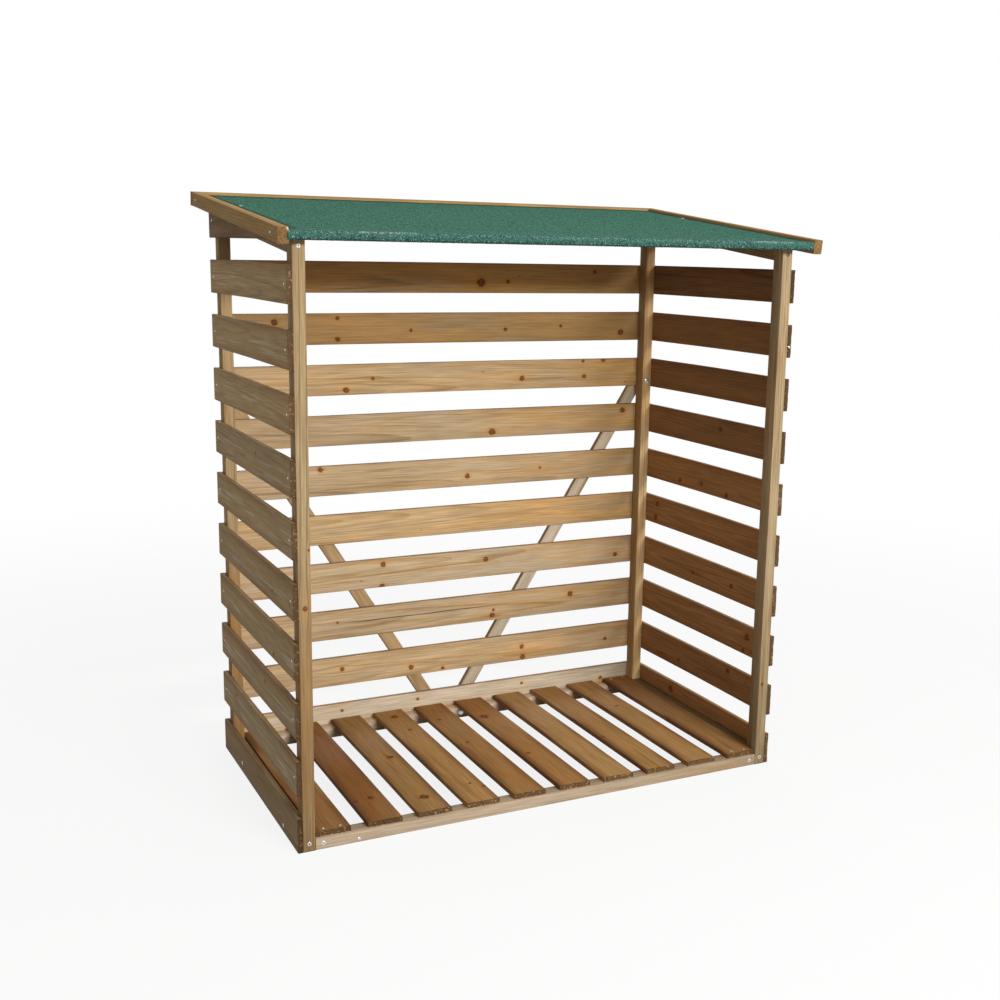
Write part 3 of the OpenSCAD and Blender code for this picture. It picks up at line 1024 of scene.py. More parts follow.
# %% Back slats
BACK_TONES = (
    (1.21, 0.0, 2.8), (1.09, 0.4, 0.4), (1.0, 0.35, 0.55), (1.09, 0.25, 0.65), (1.12, 0.65, 0.2),
    (0.99, 0.35, 0.5), (0.92, 0.4, 0.4), (0.97, 0.5, 0.2), (0.61, 1.65, 0.05), (0.85, 2.0, 0.0),
    (0.84, 0.8, 0.1),
)
BACK_KNOTS = (
    [(-0.379, 0.023, 0.005), (-0.11, 0.024, 0.005), (0.285, 0.027, 0.005), (0.606, 0.003, 0.006)],
    [(-0.377, 0.006, 0.007), (-0.134, -0.02, 0.008), (-0.018, -0.038, 0.006), (0.283, 0.002, 0.008),
     (0.287, -0.037, 0.009), (0.621, -0.009, 0.006)],
    [(-0.391, 0.007, 0.004), (0.167, -0.03, 0.008), (0.171, -0.012, 0.005), (0.472, 0.015, 0.009)],
    [(-0.232, 0.029, 0.008), (-0.235, -0.045, 0.008), (0.14, 0.012, 0.008), (0.653, -0.016, 0.007)],
    [],
    [(-0.44, 0.037, 0.008), (0.069, -0.014, 0.008), (0.342, -0.001, 0.004)],
    [(0.665, 0.026, 0.009), (0.158, -0.029, 0.011)],
    [(-0.352, -0.033, 0.009), (-0.263, 0.001, 0.005), (0.267, -0.012, 0.008), (0.506, -0.011, 0.007),
     (0.581, 0.043, 0.007), (0.501, 0.042, 0.005)],
    [(-0.578, 0.022, 0.009), (-0.378, -0.032, 0.007), (0.203, -0.008, 0.006), (0.411, 0.002, 0.005),
     (0.647, -0.021, 0.01), (-0.378, 0.033, 0.006), (-0.133, -0.007, 0.005)],
    [(0.113, -0.014, 0.013), (0.21, -0.011, 0.006), (0.538, 0.024, 0.006)],
    [],
)
BACK_CHECKS = {2: (-0.1, 0.34, 0.004)}
BACK_BOW = 0.0018
# The back slats darken and warm towards their right ends: painted shade from the right side.
BACK_SHADE_FADE = -0.2

for course, (tone, found) in enumerate(zip(BACK_TONES, BACK_KNOTS)):
    node = f"back_slat_{course + 1}"
    low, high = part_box(node)
    slat = shape_board(f"{node}_timber", low, high)
    lay_grain(slat, X, -Y, tone, found, BACK_CHECKS.get(course, NO_CHECK), BACK_SHADE_FADE)
    bow_board(slat, AXIS_X, low, high, (0.0, 0.0, shape_dice.uniform(0, BACK_BOW)))
    hand_over(slat, "back_slat_timber", node)
    print(slat.name, "with", len(found), "knots")

# %% [markdown]
# ## Braces
# Two flat braces cross the back in a V and keep the frame square. Each is a straight batten, turned to its
# slope and trimmed on the ground and along the edges of the back. The turn is read from the solid: its
# only slanted faces are its two long edges, and the batten runs at a right angle to their normals.

# %% Braces
SLANTED = 0.05
BRACE_TONES = {"left_brace": (0.9, 0.6, 0.2), "right_brace": (1.0, 0.0, 6.0)}

for node, tone in BRACE_TONES.items():
    sides = [face.normal for face in nodes[node].data.polygons]
    aside = next(way for way in sides if SLANTED < abs(way.x) < 1 - SLANTED)
    uphill = Vector((-aside.z, 0, aside.x))
    uphill = uphill if uphill.z > 0 else -uphill
    lean = math.atan2(uphill.x, uphill.z)
    (low, high), = spans(node, (Y.cross(uphill), Y, uphill))
    box_low, box_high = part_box(node)
    trims = [(box_low, -Z), (box_low, -X), (box_high, X)]
    brace = shape_board(f"{node}_timber", low, high, turn=("Y", lean), saw_cuts=trims)
    lay_grain(brace, uphill, -Y, tone)
    hand_over(brace, "back_slat_timber", node)
    print(brace.name, "leans", round(math.degrees(lean), 1), "degrees")

# %% [markdown]
# ## The floor
# The floor is a frame of two rails and two bearers with ten boards across the rails, with gaps for the air.
# The frame comes first. Each row gives the ways along and out of a timber, its tone and how the tone fades.

# %% Floor frame
FLOOR_FRAME = {
    "floor_front_rail": (X, -Y, (0.9, 0.25, 0.3), -0.2),
    "floor_back_rail": (X, -Y, (1.3, 0.1, 0.8), 0.0),
    "floor_left_bearer": (Y, X, (0.85, 0.4, 0.3), 0.0),
    "floor_right_bearer": (Y, -X, (0.85, 0.4, 0.3), 0.0),
}

for node, (along, out, tone, fade) in FLOOR_FRAME.items():
    low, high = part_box(node)
    piece = shape_board(f"{node}_timber", low, high)
    lay_grain(piece, along, out, tone, fade=fade)
    hand_over(piece, "floor_rail_timber", node)
    print(piece.name, "is", round(max(high - low), 3), "m long")

# %% [markdown]
# The boards are darker than the rest. Their sawn front ends lie over the front rail in plain sight, so they
# are split into more strips and torn deeper than the slats of the sides.

# %% Floor boards
BOARD_TEAR, BOARD_STRIPS = 0.0035, 15
BOARD_BOW = 0.0012
BOARD_FADE = 0.1
BOARD_TONES = (
    (0.78, 1.0, 0.05), (0.74, 1.6, 0.0), (0.83, 0.4, 0.35), (0.97, 0.3, 0.3), (0.88, 0.8, 0.0),
    (0.92, 0.8, 0.1), (1.0, 0.2, 0.4), (0.93, 0.3, 0.2), (0.95, 0.3, 0.2), (0.8, 0.8, 0.05),
)
BOARD_KNOTS = (
    [],
    [(0.243, 0.01, 0.008), (0.252, -0.037, 0.006)],
    [(-0.012, 0.015, 0.009), (0.3, 0.003, 0.013)],
    [(-0.334, 0.003, 0.012), (-0.202, 0.008, 0.006), (0.266, 0.013, 0.005), (0.301, 0.042, 0.006)],
    [(-0.25, -0.018, 0.006), (-0.029, -0.013, 0.005)],
    [(-0.216, -0.018, 0.014), (0.129, -0.024, 0.006)],
    [],
    [(0.108, -0.042, 0.007)],
    [(-0.126, 0.0, 0.006)],
    [],
)

for number, (tone, found) in enumerate(zip(BOARD_TONES, BOARD_KNOTS)):
    node = f"floor_board_{number + 1}"
    low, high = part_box(node)
    piece = shape_board(f"{node}_timber", low, high)
    lay_grain(piece, -Y, Z, tone, found, fade=BOARD_FADE)
    aside = shape_dice.uniform(-BOARD_BOW, BOARD_BOW)
    bow_board(piece, AXIS_Y, low, high, (aside, 0.0, shape_dice.uniform(0, BOARD_BOW)))
    tear_end(piece, AXIS_Y, low.y, AXIS_X, BOARD_TEAR, BOARD_STRIPS, shape_dice)
    tear_end(piece, AXIS_Y, high.y, AXIS_X, SLAT_TEAR, SLAT_STRIPS, shape_dice)
    hand_over(piece, "floor_board_timber", node)
    print(piece.name, "with", len(found), "knots")

# %% [markdown]
# ## The roof deck
# Ten boards make the deck. They are seen from below and along the edges only. Working on a slope is awkward,
# so the roof's pieces are made lying flat, in the roof's own axes, and then tipped up: one turn about the
# X axis through the origin brings the flat axes onto the roof.

# %% Roof deck
TIP_UP = ("X", ROOF_PITCH)
DECK_TONE, ANY_DECK_KNOTS = (1.0, 0.4, 0.3), (0.7, 0.04, 3, 0.008)

deck_boards = []
for number, (low, high) in enumerate(spans("roof_deck", ROOF_AXES, AXIS_Y)):
    piece = shape_board(f"deck_board_{number}", low, high, turn=TIP_UP)
    lay_grain(piece, X, -roof_up, any_tone(*DECK_TONE), any_knots(*ANY_DECK_KNOTS))
    deck_boards.append(piece)
deck = join_as("roof_deck_timber", deck_boards)
hand_over(deck, "deck_timber", "roof_deck")
print(deck.name, "has", len(deck_boards), "boards")

# %% [markdown]
# ## Barge boards and fascia
# A barge board covers each sloping edge of the roof and a fascia runs across the back, all standing a little
# above the felt. The left barge has lost a splinter at its front corner, where the wood shows pale:
# a bisect takes the corner off, and the timber finish knows inner wood by its distance from every face.

# %% Barge boards and fascia
EDGE_BOARDS = {
    "left_barge_board": (roof_rise, -X, (1.0, 0.6, 0.1)),
    "right_barge_board": (roof_rise, X, (1.0, 0.6, 0.1)),
    "back_fascia": (X, -roof_rise, (1.1, 0.5, 0.5)),
}
ANY_EDGE_KNOTS = (0.4, 0.012, 2, 0.005)
SPLINTER, SPLINTER_WAY = 0.006, Vector((0.8, -1.0, 0.4)).normalized()

for node, (along, out, tone) in EDGE_BOARDS.items():
    (low, high), = spans(node, ROOF_AXES)
    piece = shape_board(f"{node}_timber", low, high, turn=TIP_UP)
    lay_grain(piece, along, out, tone, any_knots(*ANY_EDGE_KNOTS))
    if node == "left_barge_board":
        corner = high.x * X + low.y * roof_rise + high.z * roof_up
        enter_edit(piece)
        slice_off(corner - SPLINTER * SPLINTER_WAY, SPLINTER_WAY)
        leave_edit()
    hand_over(piece, "barge_timber", node)
    print(piece.name, "is", round(max(high - low), 3), "m long")

# %% [markdown]
# ## Roofing felt
# One sheet of green mineral felt covers the deck, turns down round the front edge and comes back underneath.
# Its granules are too many to model one by one, so on the flat they are colour and bump: each cell of a
# pattern is one granule, and a coarser mottle swings the light. Round the nose the mottle gives way to
# larger cells that swing one by one, and the colour is deeper underneath.

# %% Felt colour
GRANULE_SCALE, NOSE_SCALE, FLECK_SCALE = 620.0, 390.0, 420.0
GRANULE_MID, GRANULE_PALE = (0.1, 0.5), (0.6, 1.0)
DRIFT_SCALE, DRIFT_RANGE = 5.0, (0.3, 0.7, 0.0, 0.25)
MOTTLE_SCALE, MOTTLE_STRETCH, MOTTLE_DEPTH = 190.0, (1.0, 0.4, 1.0), 3.8
UNDER_RANGE, NOSE_SHARE, NOSE_DEPTH = (0.25, 1.0), 0.85, 1.2
FELT_DARK, FELT_MID = paint(0.026, 0.12, 0.076), paint(0.041, 0.163, 0.107)
FELT_PALE = paint(0.069, 0.215, 0.15)
NOSE_COLOUR, UNDER_COLOUR = paint(0.052, 0.14, 0.115), paint(0.022, 0.07, 0.058)

mineral = Finish("mineral_felt")
felt_spot = mineral.add("TexCoord").outputs["Object"]
bend, under, crease = mineral.split(mineral.own("nose"))


def felt_cells(scale):
    """A cell pattern on the felt: how far off its middle a point is, and three chances for each cell."""
    cells = mineral.add("TexVoronoi", {"Vector": felt_spot, "Scale": scale}).outputs
    return cells["Distance"], mineral.split(cells["Color"])


granule, granule_chance = felt_cells(GRANULE_SCALE)
felt_colour = mineral.mix(mineral.smooth(granule_chance[0], *GRANULE_MID), FELT_DARK, FELT_MID)
felt_colour = mineral.mix(mineral.smooth(granule_chance[0], *GRANULE_PALE), felt_colour, FELT_PALE)
drift = mineral.noise(felt_spot, MEDIUM, DRIFT_SCALE)
felt_colour = mineral.mix(mineral.smooth(drift, *DRIFT_RANGE), felt_colour, FELT_MID)
nose_colour = mineral.mix(mineral.smooth(under, *UNDER_RANGE), NOSE_COLOUR, UNDER_COLOUR)
felt_colour = mineral.mix(mineral.math("MULTIPLY", bend, NOSE_SHARE), felt_colour, nose_colour)

mottle = mineral.drawn_noise(felt_spot, MOTTLE_STRETCH, ROUGH, MOTTLE_SCALE)
_, nose_chance = felt_cells(NOSE_SCALE)
gain = mineral.swing(mottle, mineral.math("MULTIPLY_ADD", bend, -MOTTLE_DEPTH, MOTTLE_DEPTH), 1.0)
gain = mineral.swing(nose_chance[1], mineral.math("MULTIPLY", bend, NOSE_DEPTH), gain)
felt_colour = mineral.scale(felt_colour, gain)
print("granules about", round(1000 / GRANULE_SCALE, 2), "mm across")

# %% [markdown]
# Pale and dark flecks of grit lie on top, most of them round the nose, and a painted highlight runs along
# two creases of the nose, where the folds catch the light. Painted shade darkens the felt where it meets the
# boards at its rim, so each point also knows how far off the rim it is.

# %% Felt grit, painted highlight and painted shade
FLECK_EDGE, FLECK_BENT, FLECK_FLAT = (0.6, 0.35), 0.6, 0.1
DARK_CHANCE, PALE_CHANCE = (0.66, 0.76), (0.0, 0.08)
PALE_FROM, PALE_LESS = 0.77, 0.1
CREASE_HIGHLIGHT_RANGE = (0.3, 0.8, 0.0, 0.5)
RIM_SIDE, RIM_BACK, RIM_BACK_SHARE = 0.036, 0.05, 0.9
FELT_BUMP = (0.5, 0.001)
FELT_ROUGH, FELT_SHEEN = (0.0, 1.0, 0.95, 0.75), 0.1
FLECK_PALE_AND_HIGHLIGHT, FLECK_DARK_AND_SHADE = paint(0.48, 0.62, 0.58), paint(0.008, 0.024, 0.021)

fleck, fleck_chance = felt_cells(FLECK_SCALE)
grit = mineral.math("MULTIPLY_ADD", bend, FLECK_BENT, FLECK_FLAT)
grit = mineral.math("MULTIPLY", grit, mineral.smooth(fleck, *FLECK_EDGE))
dark_share = mineral.math("MULTIPLY", mineral.smooth(fleck_chance[2], *DARK_CHANCE), grit)
scarce = mineral.math("MULTIPLY_ADD", under, PALE_LESS, PALE_FROM)
pale_chance = mineral.smooth(mineral.math("SUBTRACT", fleck_chance[1], scarce), *PALE_CHANCE)
felt_colour = mineral.mix(dark_share, felt_colour, FLECK_DARK_AND_SHADE)
felt_colour = mineral.mix(mineral.math("MULTIPLY", pale_chance, grit), felt_colour, FLECK_PALE_AND_HIGHLIGHT)
# Painted highlight along the creases, where the folds of the nose catch the light.
worn = mineral.math("MULTIPLY", crease, mineral.smooth(nose_chance[0], *CREASE_HIGHLIGHT_RANGE))
felt_colour = mineral.mix(worn, felt_colour, FLECK_PALE_AND_HIGHLIGHT)
# Painted shade along the rim of the felt, where it meets the barges and the fascia.
from_side, from_back, _ = mineral.split(mineral.own("rim"))
rim_shade = mineral.math("MAXIMUM", mineral.smooth(from_side, RIM_SIDE, RIM_SIDE / 2),
                      mineral.smooth(from_back, RIM_BACK, RIM_BACK / 3, 0.0, RIM_BACK_SHARE))
rim_shade = mineral.math("MULTIPLY", rim_shade, mineral.math("SUBTRACT", 1.0, bend))
felt_colour = mineral.mix(rim_shade, felt_colour, FLECK_DARK_AND_SHADE)
mineral.bump(mineral.math("ADD", granule, fleck), *FELT_BUMP)
felt_rough = mineral.smooth(granule_chance[0], *FELT_ROUGH)
mineral.shade(base_color=felt_colour, roughness=felt_rough, specular_ior_level=FELT_SHEEN)
# The dark band at the rim is painted shade.
print("dirt reaches", RIM_SIDE * 1000, "mm in from the barges")

# %% [markdown]
# The sheet is built the way it is laid, flat for now. Its sizes are read from the solid: how thick it is,
# where the nose begins, how round it is, and how far the sheet comes back underneath. A grid covers the deck.

# %% Felt sheet
FELT_COLUMNS, FELT_ROWS = 400, 30

(felt_low, felt_high), = spans("roof_felt", ROOF_AXES)
(_, deck_high), = spans("roof_deck", ROOF_AXES)
felt_thick = felt_high.z - deck_high.z
felt_points = [Vector([axis.dot(v.co) for axis in ROOF_AXES]) for v in nodes["roof_felt"].data.vertices]
nose_start = min(p.y for p in felt_points if p.z > felt_high.z - SAME)
return_end = max(p.y for p in felt_points if p.z < felt_low.z + SAME)
nose_radius = nose_start - felt_low.y
nose_flat = felt_high.z - felt_low.z - 2 * nose_radius
print("felt", round(felt_thick * 1000, 1), "mm thick, nose radius", round(nose_radius * 1000, 1), "mm")

bpy.ops.object.select_all(action="DESELECT")
bpy.ops.mesh.primitive_grid_add(x_subdivisions=FELT_COLUMNS, y_subdivisions=FELT_ROWS, size=1,
                                enter_editmode=True)
felt = bpy.context.object
felt.name = felt.data.name = "roof_felt_sheet"
bpy.ops.transform.resize(value=(felt_high.x - felt_low.x, felt_high.y - nose_start, 1.0))
bpy.ops.transform.translate(value=(0.0, (felt_high.y + nose_start) / 2, felt_high.z))

# %% [markdown]
# The front edge of the grid is spun round the nose by two quarter turns with a flat between them, and the
# free edge is drawn back under the boards. Each point then stores how near the nose it lies, how far down,
# and whether it is on a crease, where a highlight is painted.

# %% Felt nose
NOSE_STEPS, NOSE_FADE = 6, 0.09
SHOULDER_DOWN = 0.3
CREASES = ((-0.6, -0.45), (0.57, 0.7))


def pick_line(axis, place):
    """Selects the edges across the roof that lie at that place on an axis."""
    return pick("EDGE", lambda edge: runs_along(edge, AXIS_X) and abs(edge.verts[0].co[axis] - place) < SAME)


pick_line(AXIS_Y, nose_start)
bpy.ops.mesh.spin(steps=NOSE_STEPS, angle=-LEVEL, center=(0.0, nose_start, felt_high.z - nose_radius), axis=X)
for part in (1, 2):
    pick_line(AXIS_Z, felt_high.z - nose_radius - nose_flat * (part - 1) / 2)
    bpy.ops.mesh.extrude_region_move(TRANSFORM_OT_translate={"value": (0.0, 0.0, -nose_flat / 2)})
pick_line(AXIS_Z, felt_low.z + nose_radius)
bpy.ops.mesh.spin(steps=NOSE_STEPS, angle=-LEVEL, center=(0.0, nose_start, felt_low.z + nose_radius), axis=X)
pick_line(AXIS_Z, felt_low.z)
bpy.ops.mesh.extrude_region_move(TRANSFORM_OT_translate={"value": (0.0, return_end - nose_start, 0.0)})
bpy.ops.mesh.select_all(action="SELECT")
bpy.ops.mesh.remove_doubles(threshold=SAME)
leave_edit()


def felt_nose_and_highlight(place):
    """How near the nose a point of the felt is, how far down the nose, and whether it lies on a crease that
    gets a painted highlight.
    """
    near = max(0.0, min(1.0, 1.0 - (place.y - nose_start) / NOSE_FADE)) ** 2
    down = (felt_high.z - place.z) / (felt_high.z - felt_low.z)
    shoulder = abs(nose_start - place.y - nose_radius / 2) < nose_radius / 3 and down < SHOULDER_DOWN
    return near, down, float(shoulder and any(low < place.x < high for low, high in CREASES))


store(felt.data, "nose", [felt_nose_and_highlight(v.co) for v in felt.data.vertices])
store(felt.data, "rim", [(felt_high.x - abs(v.co.x), felt_high.y - v.co.y, 0.0) for v in felt.data.vertices])
print("nose from", round(min(v.co.y for v in felt.data.vertices), 4), "to", round(nose_start, 4))

# %% [markdown]
# No felt lies dead flat: points picked at random are raised a little by proportional editing. Round the nose
# the points are scattered, so that the edge is gritty against the sky, and the left front corner laps out by
# a few millimetres. Then the sheet is tipped up onto the roof, and Solidify gives it its thickness.

# %% Felt waves and grit
WAVES, WAVE_RISE, WAVE_SPREAD, WAVE_REACH = 26, 0.0009, (0.3, 1.0), 0.13
NOSE_GRIT = 0.0006
LAP, LAP_REACH = (-0.005, -0.003, -0.001), 0.035
WAVE_SEED, GRIT_SEED = 19, 5
wave_dice = random.Random(WAVE_SEED)

enter_edit(felt)
for _ in range(WAVES):
    across = wave_dice.uniform(felt_low.x, felt_high.x)
    centre = Vector((across, wave_dice.uniform(nose_start, felt_high.y), felt_high.z))
    closest = min(bmesh.from_edit_mesh(felt.data).verts, key=lambda v: (v.co - centre).length_squared).index
    pick("VERT", lambda vert: vert.index == closest)
    pull_aside((0.0, 0.0, wave_dice.uniform(*WAVE_SPREAD) * WAVE_RISE), WAVE_REACH)
pick("VERT", lambda vert: vert.co.y < nose_start + SAME)
bpy.ops.transform.vertex_random(offset=NOSE_GRIT, uniform=0.0, normal=0.0, seed=GRIT_SEED)
pick("VERT", lambda vert: vert.co.y < nose_start and vert.co.x < felt_low.x + 2 * NOSE_GRIT)
pull_aside(LAP, LAP_REACH)
bpy.ops.mesh.select_all(action="SELECT")
bpy.ops.transform.rotate(value=-ROOF_PITCH, orient_axis="X", center_override=ORIGIN)
leave_edit()
bpy.ops.object.modifier_add(type="SOLIDIFY")
felt.modifiers["Solidify"].thickness = felt_thick
felt.modifiers["Solidify"].offset = -1.0
bpy.ops.object.modifier_apply(modifier="Solidify")
hand_over(felt, "mineral_felt", "roof_felt")
print(felt.name, "has", len(felt.data.polygons), "faces")

# %% [markdown]
# ## Nails, screws and bolts
# Small zinc-plated fixings hold the store together: nails in the slats, boards and barges, clouts in the
# felt, cross-headed screws in the corners and round-headed coach bolts through the braces, with a washer and
# a nut behind. They could be dots in the timber finish, but a head that stands proud catches the light from
# every side. Their finish comes first.

# %% Zinc finish
ZINC_BRIGHT, ZINC_DULL = paint(0.8, 0.86, 0.94), paint(0.52, 0.59, 0.68)
RECESS_SHADE_COLOUR = paint(0.012, 0.012, 0.015)
SPANGLE_SCALE, SPANGLE_RANGE = 700.0, (0.35, 0.7)
ZINC_BUMP = (0.12, 0.0002)
ZINC_METAL, ZINC_ROUGH = 0.65, (0.3, 0.8, 0.15, 0.34)

zinc = Finish("zinc_fixings")
spangle = zinc.noise(zinc.add("TexCoord").outputs["Object"], MEDIUM, SPANGLE_SCALE)
zinc_colour = zinc.mix(zinc.smooth(spangle, *SPANGLE_RANGE), ZINC_BRIGHT, ZINC_DULL)
# Painted shade in the recess of a screw head, and over the whole of the one dark screw.
zinc_colour = zinc.mix(zinc.split(zinc.own("recess"))[0], zinc_colour, RECESS_SHADE_COLOUR)
zinc.bump(spangle, *ZINC_BUMP)
zinc.shade(base_color=zinc_colour, metallic=ZINC_METAL, roughness=zinc.smooth(spangle, *ZINC_ROUGH))
print("zinc with spangles of", round(1000 / SPANGLE_SCALE, 1), "mm")

# %% [markdown]
# Each kind is modelled once, lying on the ground with its axis up, and copied to its places later. A head is
# a short cylinder with a domed top. A row gives its radius, the height of its rim, and the steps of the dome:
# how far the top face is drawn in and lifted each time.

# %% Fixing models
FIXING_ROOT = 0.003
HEAD_SIDES = 20
HEADS = {
    "nail": (0.0031, 0.0005, [(0.0006, 0.0003), (0.001, 0.0001)]),
    "board_nail": (0.0038, 0.0005, [(0.0006, 0.0003), (0.0016, 0.0001)]),
    "clout": (0.0048, 0.0008, [(0.0009, 0.0004), (0.002, 0.0001)]),
    "bolt": (0.0096, 0.0012, [(0.0009, 0.0013), (0.0016, 0.0011), (0.0022, 0.0007), (0.002, 0.0002)]),
    "screw": (0.0055, 0.0006, [(0.0006, 0.0003)]),
}


def start_disc(name, radius, top, sides):
    """A short upright cylinder from below the surface to its top, in edit mode."""
    bpy.ops.object.select_all(action="DESELECT")
    bpy.ops.mesh.primitive_cylinder_add(vertices=sides, radius=radius, depth=top + FIXING_ROOT,
                                        enter_editmode=True)
    piece = bpy.context.object
    piece.name = piece.data.name = name
    bpy.ops.transform.translate(value=(0.0, 0.0, (top - FIXING_ROOT) / 2))
    return piece


def dome(steps):
    """Raises the top face by insets: each step draws it in and lifts it."""
    shape = bmesh.from_edit_mesh(bpy.context.edit_object.data)
    crown = max(v.co.z for v in shape.verts)
    pick("FACE", lambda face: face.normal.z > ALONGSIDE and face.calc_center_median().z > crown - SAME)
    for inwards, upwards in steps:
        bpy.ops.mesh.inset(thickness=inwards, depth=upwards)


models = {}
for name, (radius, top, steps) in HEADS.items():
    models[name] = start_disc(name, radius, top, HEAD_SIDES)
    dome(steps)
    leave_edit()
print("models:", list(models))

# %% [markdown]
# The screw needs a cross in its head. Two crossed bars are joined into a cutter and a Boolean modifier takes
# them out of the head, which is how a recess is often cut by hand too. The floor of the recess is marked in
# an attribute, and the zinc finish paints shade there.

# %% Screw recess
SCREW_SLOT, SCREW_CROSS = 0.0027, 0.0068

bars = []
for length, width in ((SCREW_CROSS, SCREW_SLOT), (SCREW_SLOT, SCREW_CROSS)):
    half = Vector((length, width, 2 * SCREW_SLOT)) / 2
    bars.append(start_cube("bar", -half, half))
    bpy.ops.object.mode_set(mode="OBJECT")
cross = join_as("cross", bars)
screw = models["screw"]
take(screw)
bpy.ops.object.modifier_add(type="BOOLEAN")
screw.modifiers["Boolean"].object = cross
screw.modifiers["Boolean"].use_self = True
bpy.ops.object.modifier_apply(modifier="Boolean")
bpy.data.objects.remove(cross)
# The floor of the recess is marked for painted shade.
in_shade = [abs(v.co.z + SCREW_SLOT) < SAME and max(abs(v.co.x), abs(v.co.y)) < SCREW_CROSS
         for v in screw.data.vertices]
store(screw.data, "recess", [(float(floor_here), 0.0, 0.0) for floor_here in in_shade])
print(sum(in_shade), "points on the floor of the recess,", len(screw.data.polygons), "faces in all")

# %% [markdown]
# The back end of a bolt is three discs: a washer, a six-sided nut and the stub of the thread, each with its
# upper rim bevelled. A row gives the radius, the height and the number of sides.

# %% Bolt ends
BOLT_ENDS = {"washer": (0.009, 0.0015, 24), "nut": (0.0058, 0.0066, 6), "stub": (0.003, 0.0115, 12)}
RIM_CHAMFER = 0.0006

discs = []
for name, (radius, top, sides) in BOLT_ENDS.items():
    discs.append(start_disc(name, radius, top, sides))
    pick("EDGE", lambda edge: all(v.co.z > top - SAME for v in edge.verts))
    bpy.ops.mesh.bevel(offset=RIM_CHAMFER, segments=1, affect="EDGES")
    leave_edit()
models["bolt_end"] = join_as("bolt_end", discs)
print("bolt end has", len(models["bolt_end"].data.polygons), "faces")

# %% [markdown]
# Now they are driven in. A place is a point on a surface and the way out of it. Each copy has a mesh of its
# own, turned and moved in the mesh, and the copies of one kind of work are joined into one piece.

# %% Driving the fixings
SHADE_ALL_OVER = [1.0, 0.0, 0.0]
OUTWARDS = {"left": -X, "right": X}


def drive(model, name, places, shaded_copies=()):
    """Copies a fixing to every place and hands the joined copies over, some of them painted dark as shade."""
    copies = []
    for number, (point, out) in enumerate(places):
        copy = models[model].copy()
        copy.data = models[model].data.copy()
        bpy.context.collection.objects.link(copy)
        copy.data.transform(Matrix.Translation(point) @ out.to_track_quat("Z", "Y").to_matrix().to_4x4())
        # This copy is painted dark all over as shade.
        if number in shaded_copies:
            copy.data.attributes["recess"].data.foreach_set("vector", SHADE_ALL_OVER * len(copy.data.vertices))
        copies.append(copy)
    hand_over(join_as(name, copies), "zinc_fixings")
    print(name, len(places))


def middle(node):
    """The middle of a solid's box."""
    low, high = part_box(node)
    return (low + high) / 2


def outer_face(node, side):
    """Where the face of a solid that looks out on that side lies."""
    low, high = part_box(node)
    return low.x if side == "left" else high.x


print("fixings to drive:", list(models))

# %% [markdown]
# Every slat but the lowest of a side has a nail over each post, and one slat has another in its sawn end. The
# slats of the back have theirs on the outside, behind the posts.

# %% Slat nails
END_NAIL_COURSE, END_NAIL_UP = 8, 0.032

low, high = spans("right_side_slats", WORLD_AXES, AXIS_Z)[END_NAIL_COURSE]
side_places = [(Vector(((low.x + high.x) / 2, low.y, low.z + END_NAIL_UP)), -Y)]
back_places = []
for side, out in OUTWARDS.items():
    face = outer_face(f"{side}_side_slats", side)
    front, back = middle(f"front_{side}_post"), middle(f"back_{side}_post")
    for low, high in spans(f"{side}_side_slats", WORLD_AXES, AXIS_Z)[1:]:
        for deep in (front.y, back.y):
            side_places.append((Vector((face, deep, (low.z + high.z) / 2)), out))
    side_places.append((Vector((face, back.y, middle(f"{side}_gable_slat").z)), out))
    for course in range(len(BACK_TONES)):
        low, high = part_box(f"back_slat_{course + 1}")
        back_places.append((Vector((back.x, high.y, (low.z + high.z) / 2)), Y))
drive("nail", "side_slat_nails", side_places)
drive("nail", "back_slat_nails", back_places)

# %% [markdown]
# Screws hold the corners: two in each front post, two through the lowest slat of each side and one in each
# end of the front rail. The one at the head of the right post is painted dark all over, as painted shade.

# %% Screws
POST_SCREW_DOWN, POST_SCREW_UP, RAIL_SCREW_IN = 0.028, 0.022, 0.022
SIDE_SCREWS = ((0.19, 0.03), (-0.264, 0.021))
HEAD_HEIGHT = 1.0

screw_places = []
rail_low, rail_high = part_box("floor_front_rail")
for side, out in OUTWARDS.items():
    post = f"front_{side}_post"
    low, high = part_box(post)
    for height in (high.z - POST_SCREW_DOWN, POST_SCREW_UP):
        screw_places.append((Vector((middle(post).x, low.y, height)), -Y))
    for deep, height in SIDE_SCREWS:
        screw_places.append((Vector((outer_face(f"{side}_side_slats", side), deep, height)), out))
    rail_end = outer_face("floor_front_rail", side) - RAIL_SCREW_IN * out.x
    screw_places.append((Vector((rail_end, rail_low.y, (rail_low.z + rail_high.z) / 2)), -Y))
right_head = next(i for i, (place, _) in enumerate(screw_places) if place.x > 0 and place.z > HEAD_HEIGHT)
drive("screw", "frame_screws", screw_places, shaded_copies=[right_head])

# %% [markdown]
# Each brace is bolted through the back post and, near the middle, through the back rail of the floor. The
# round heads are inside, and the washers and nuts sit on the brace.

# %% Bolts
BOLT_HEIGHT, BOLT_ASIDE, BOLT_LOW = 1.142, 0.032, 0.02

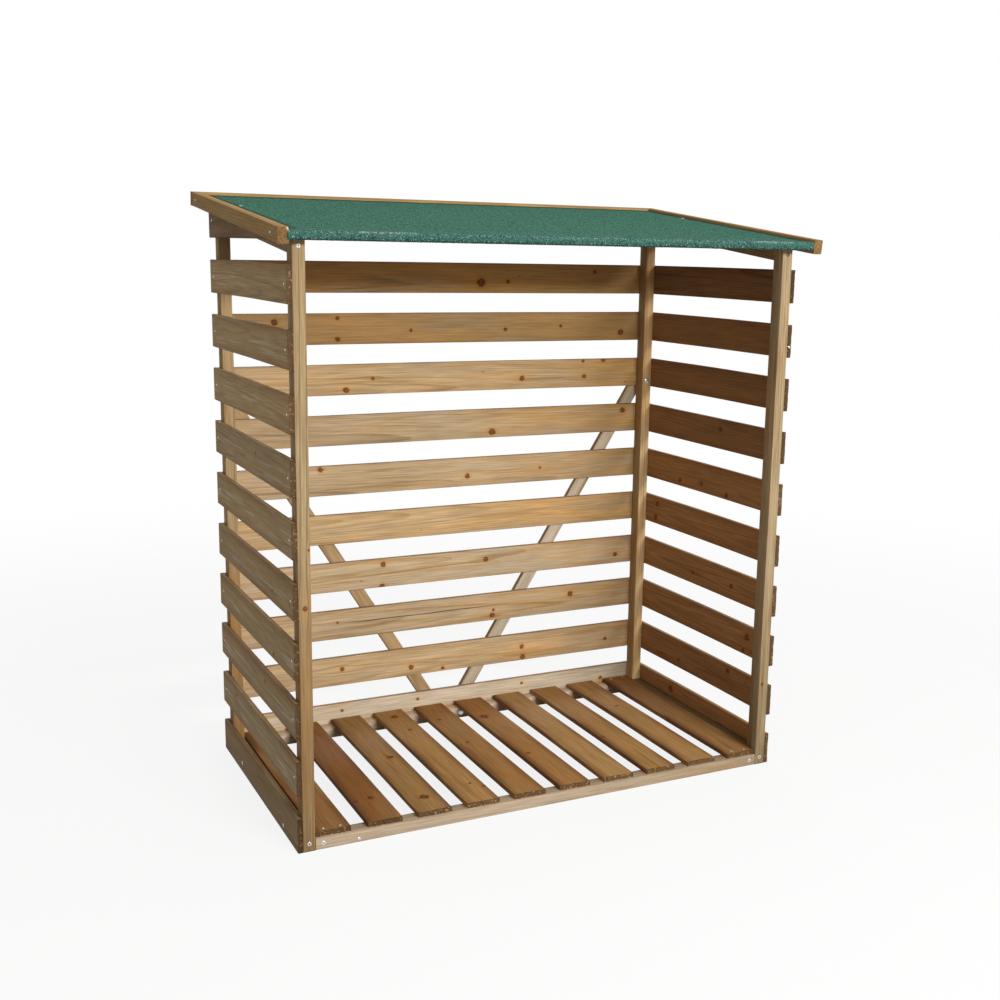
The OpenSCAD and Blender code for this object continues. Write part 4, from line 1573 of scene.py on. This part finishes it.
head_places, nut_places = [], []
for side, out in OUTWARDS.items():
    post = f"back_{side}_post"
    brace_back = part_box(f"{side}_brace")[1].y
    upper = Vector((middle(post).x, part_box(post)[0].y, BOLT_HEIGHT))
    lower = Vector((BOLT_ASIDE * out.x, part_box("floor_back_rail")[0].y, BOLT_LOW))
    for place in (upper, lower):
        head_places.append((place, -Y))
        nut_places.append((Vector((place.x, brace_back, place.z)), Y))
drive("bolt", "coach_bolt_heads", head_places)
drive("bolt_end", "coach_bolt_nuts", nut_places)

# %% [markdown]
# The first and the last floor board are nailed in pairs, and one more nail sits in the front rail. The nails
# of the barges and the fascia and the clouts of the felt are placed in the axes of the roof. At the end the
# models have done their work and go.

# %% Floor and roof fixings
NAIL_FROM_MIDDLE = 0.024
RAIL_NAIL_X, RAIL_NAIL_Z = -0.594, 0.01
BARGE_NAILS = (0.066, 0.885)
FASCIA_NAILS = (-0.62, 0.0, 0.62)
CLOUTS = ((-0.741, 0.593), (0.745, 0.66))


def on_roof(across, up, height):
    """A point in the roof's axes."""
    return across * X + up * roof_rise + height * roof_up


floor_places = [(Vector((RAIL_NAIL_X, rail_low.y, RAIL_NAIL_Z)), -Y)]
for number in (1, len(BOARD_TONES)):
    board = f"floor_board_{number}"
    for rail in ("floor_front_rail", "floor_back_rail"):
        for aside in (-NAIL_FROM_MIDDLE, NAIL_FROM_MIDDLE):
            floor_places.append((Vector((middle(board).x + aside, middle(rail).y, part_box(board)[1].z)), Z))
barge_places = []
for side, out in OUTWARDS.items():
    (low, high), = spans(f"{side}_barge_board", ROOF_AXES)
    face = outer_face(f"{side}_barge_board", side)
    for up in BARGE_NAILS:
        barge_places.append((on_roof(face, low.y + up, (low.z + high.z) / 2), out))
(low, high), = spans("back_fascia", ROOF_AXES)
for across in FASCIA_NAILS:
    barge_places.append((on_roof(across, high.y, (low.z + high.z) / 2), roof_rise))
clout_places = [(on_roof(across, felt_low.y + up, felt_high.z), roof_up) for across, up in CLOUTS]
drive("board_nail", "floor_nails", floor_places)
drive("nail", "barge_nails", barge_places)
drive("clout", "felt_clouts", clout_places)
for model in models.values():
    bpy.data.objects.remove(model)

# %% [markdown]
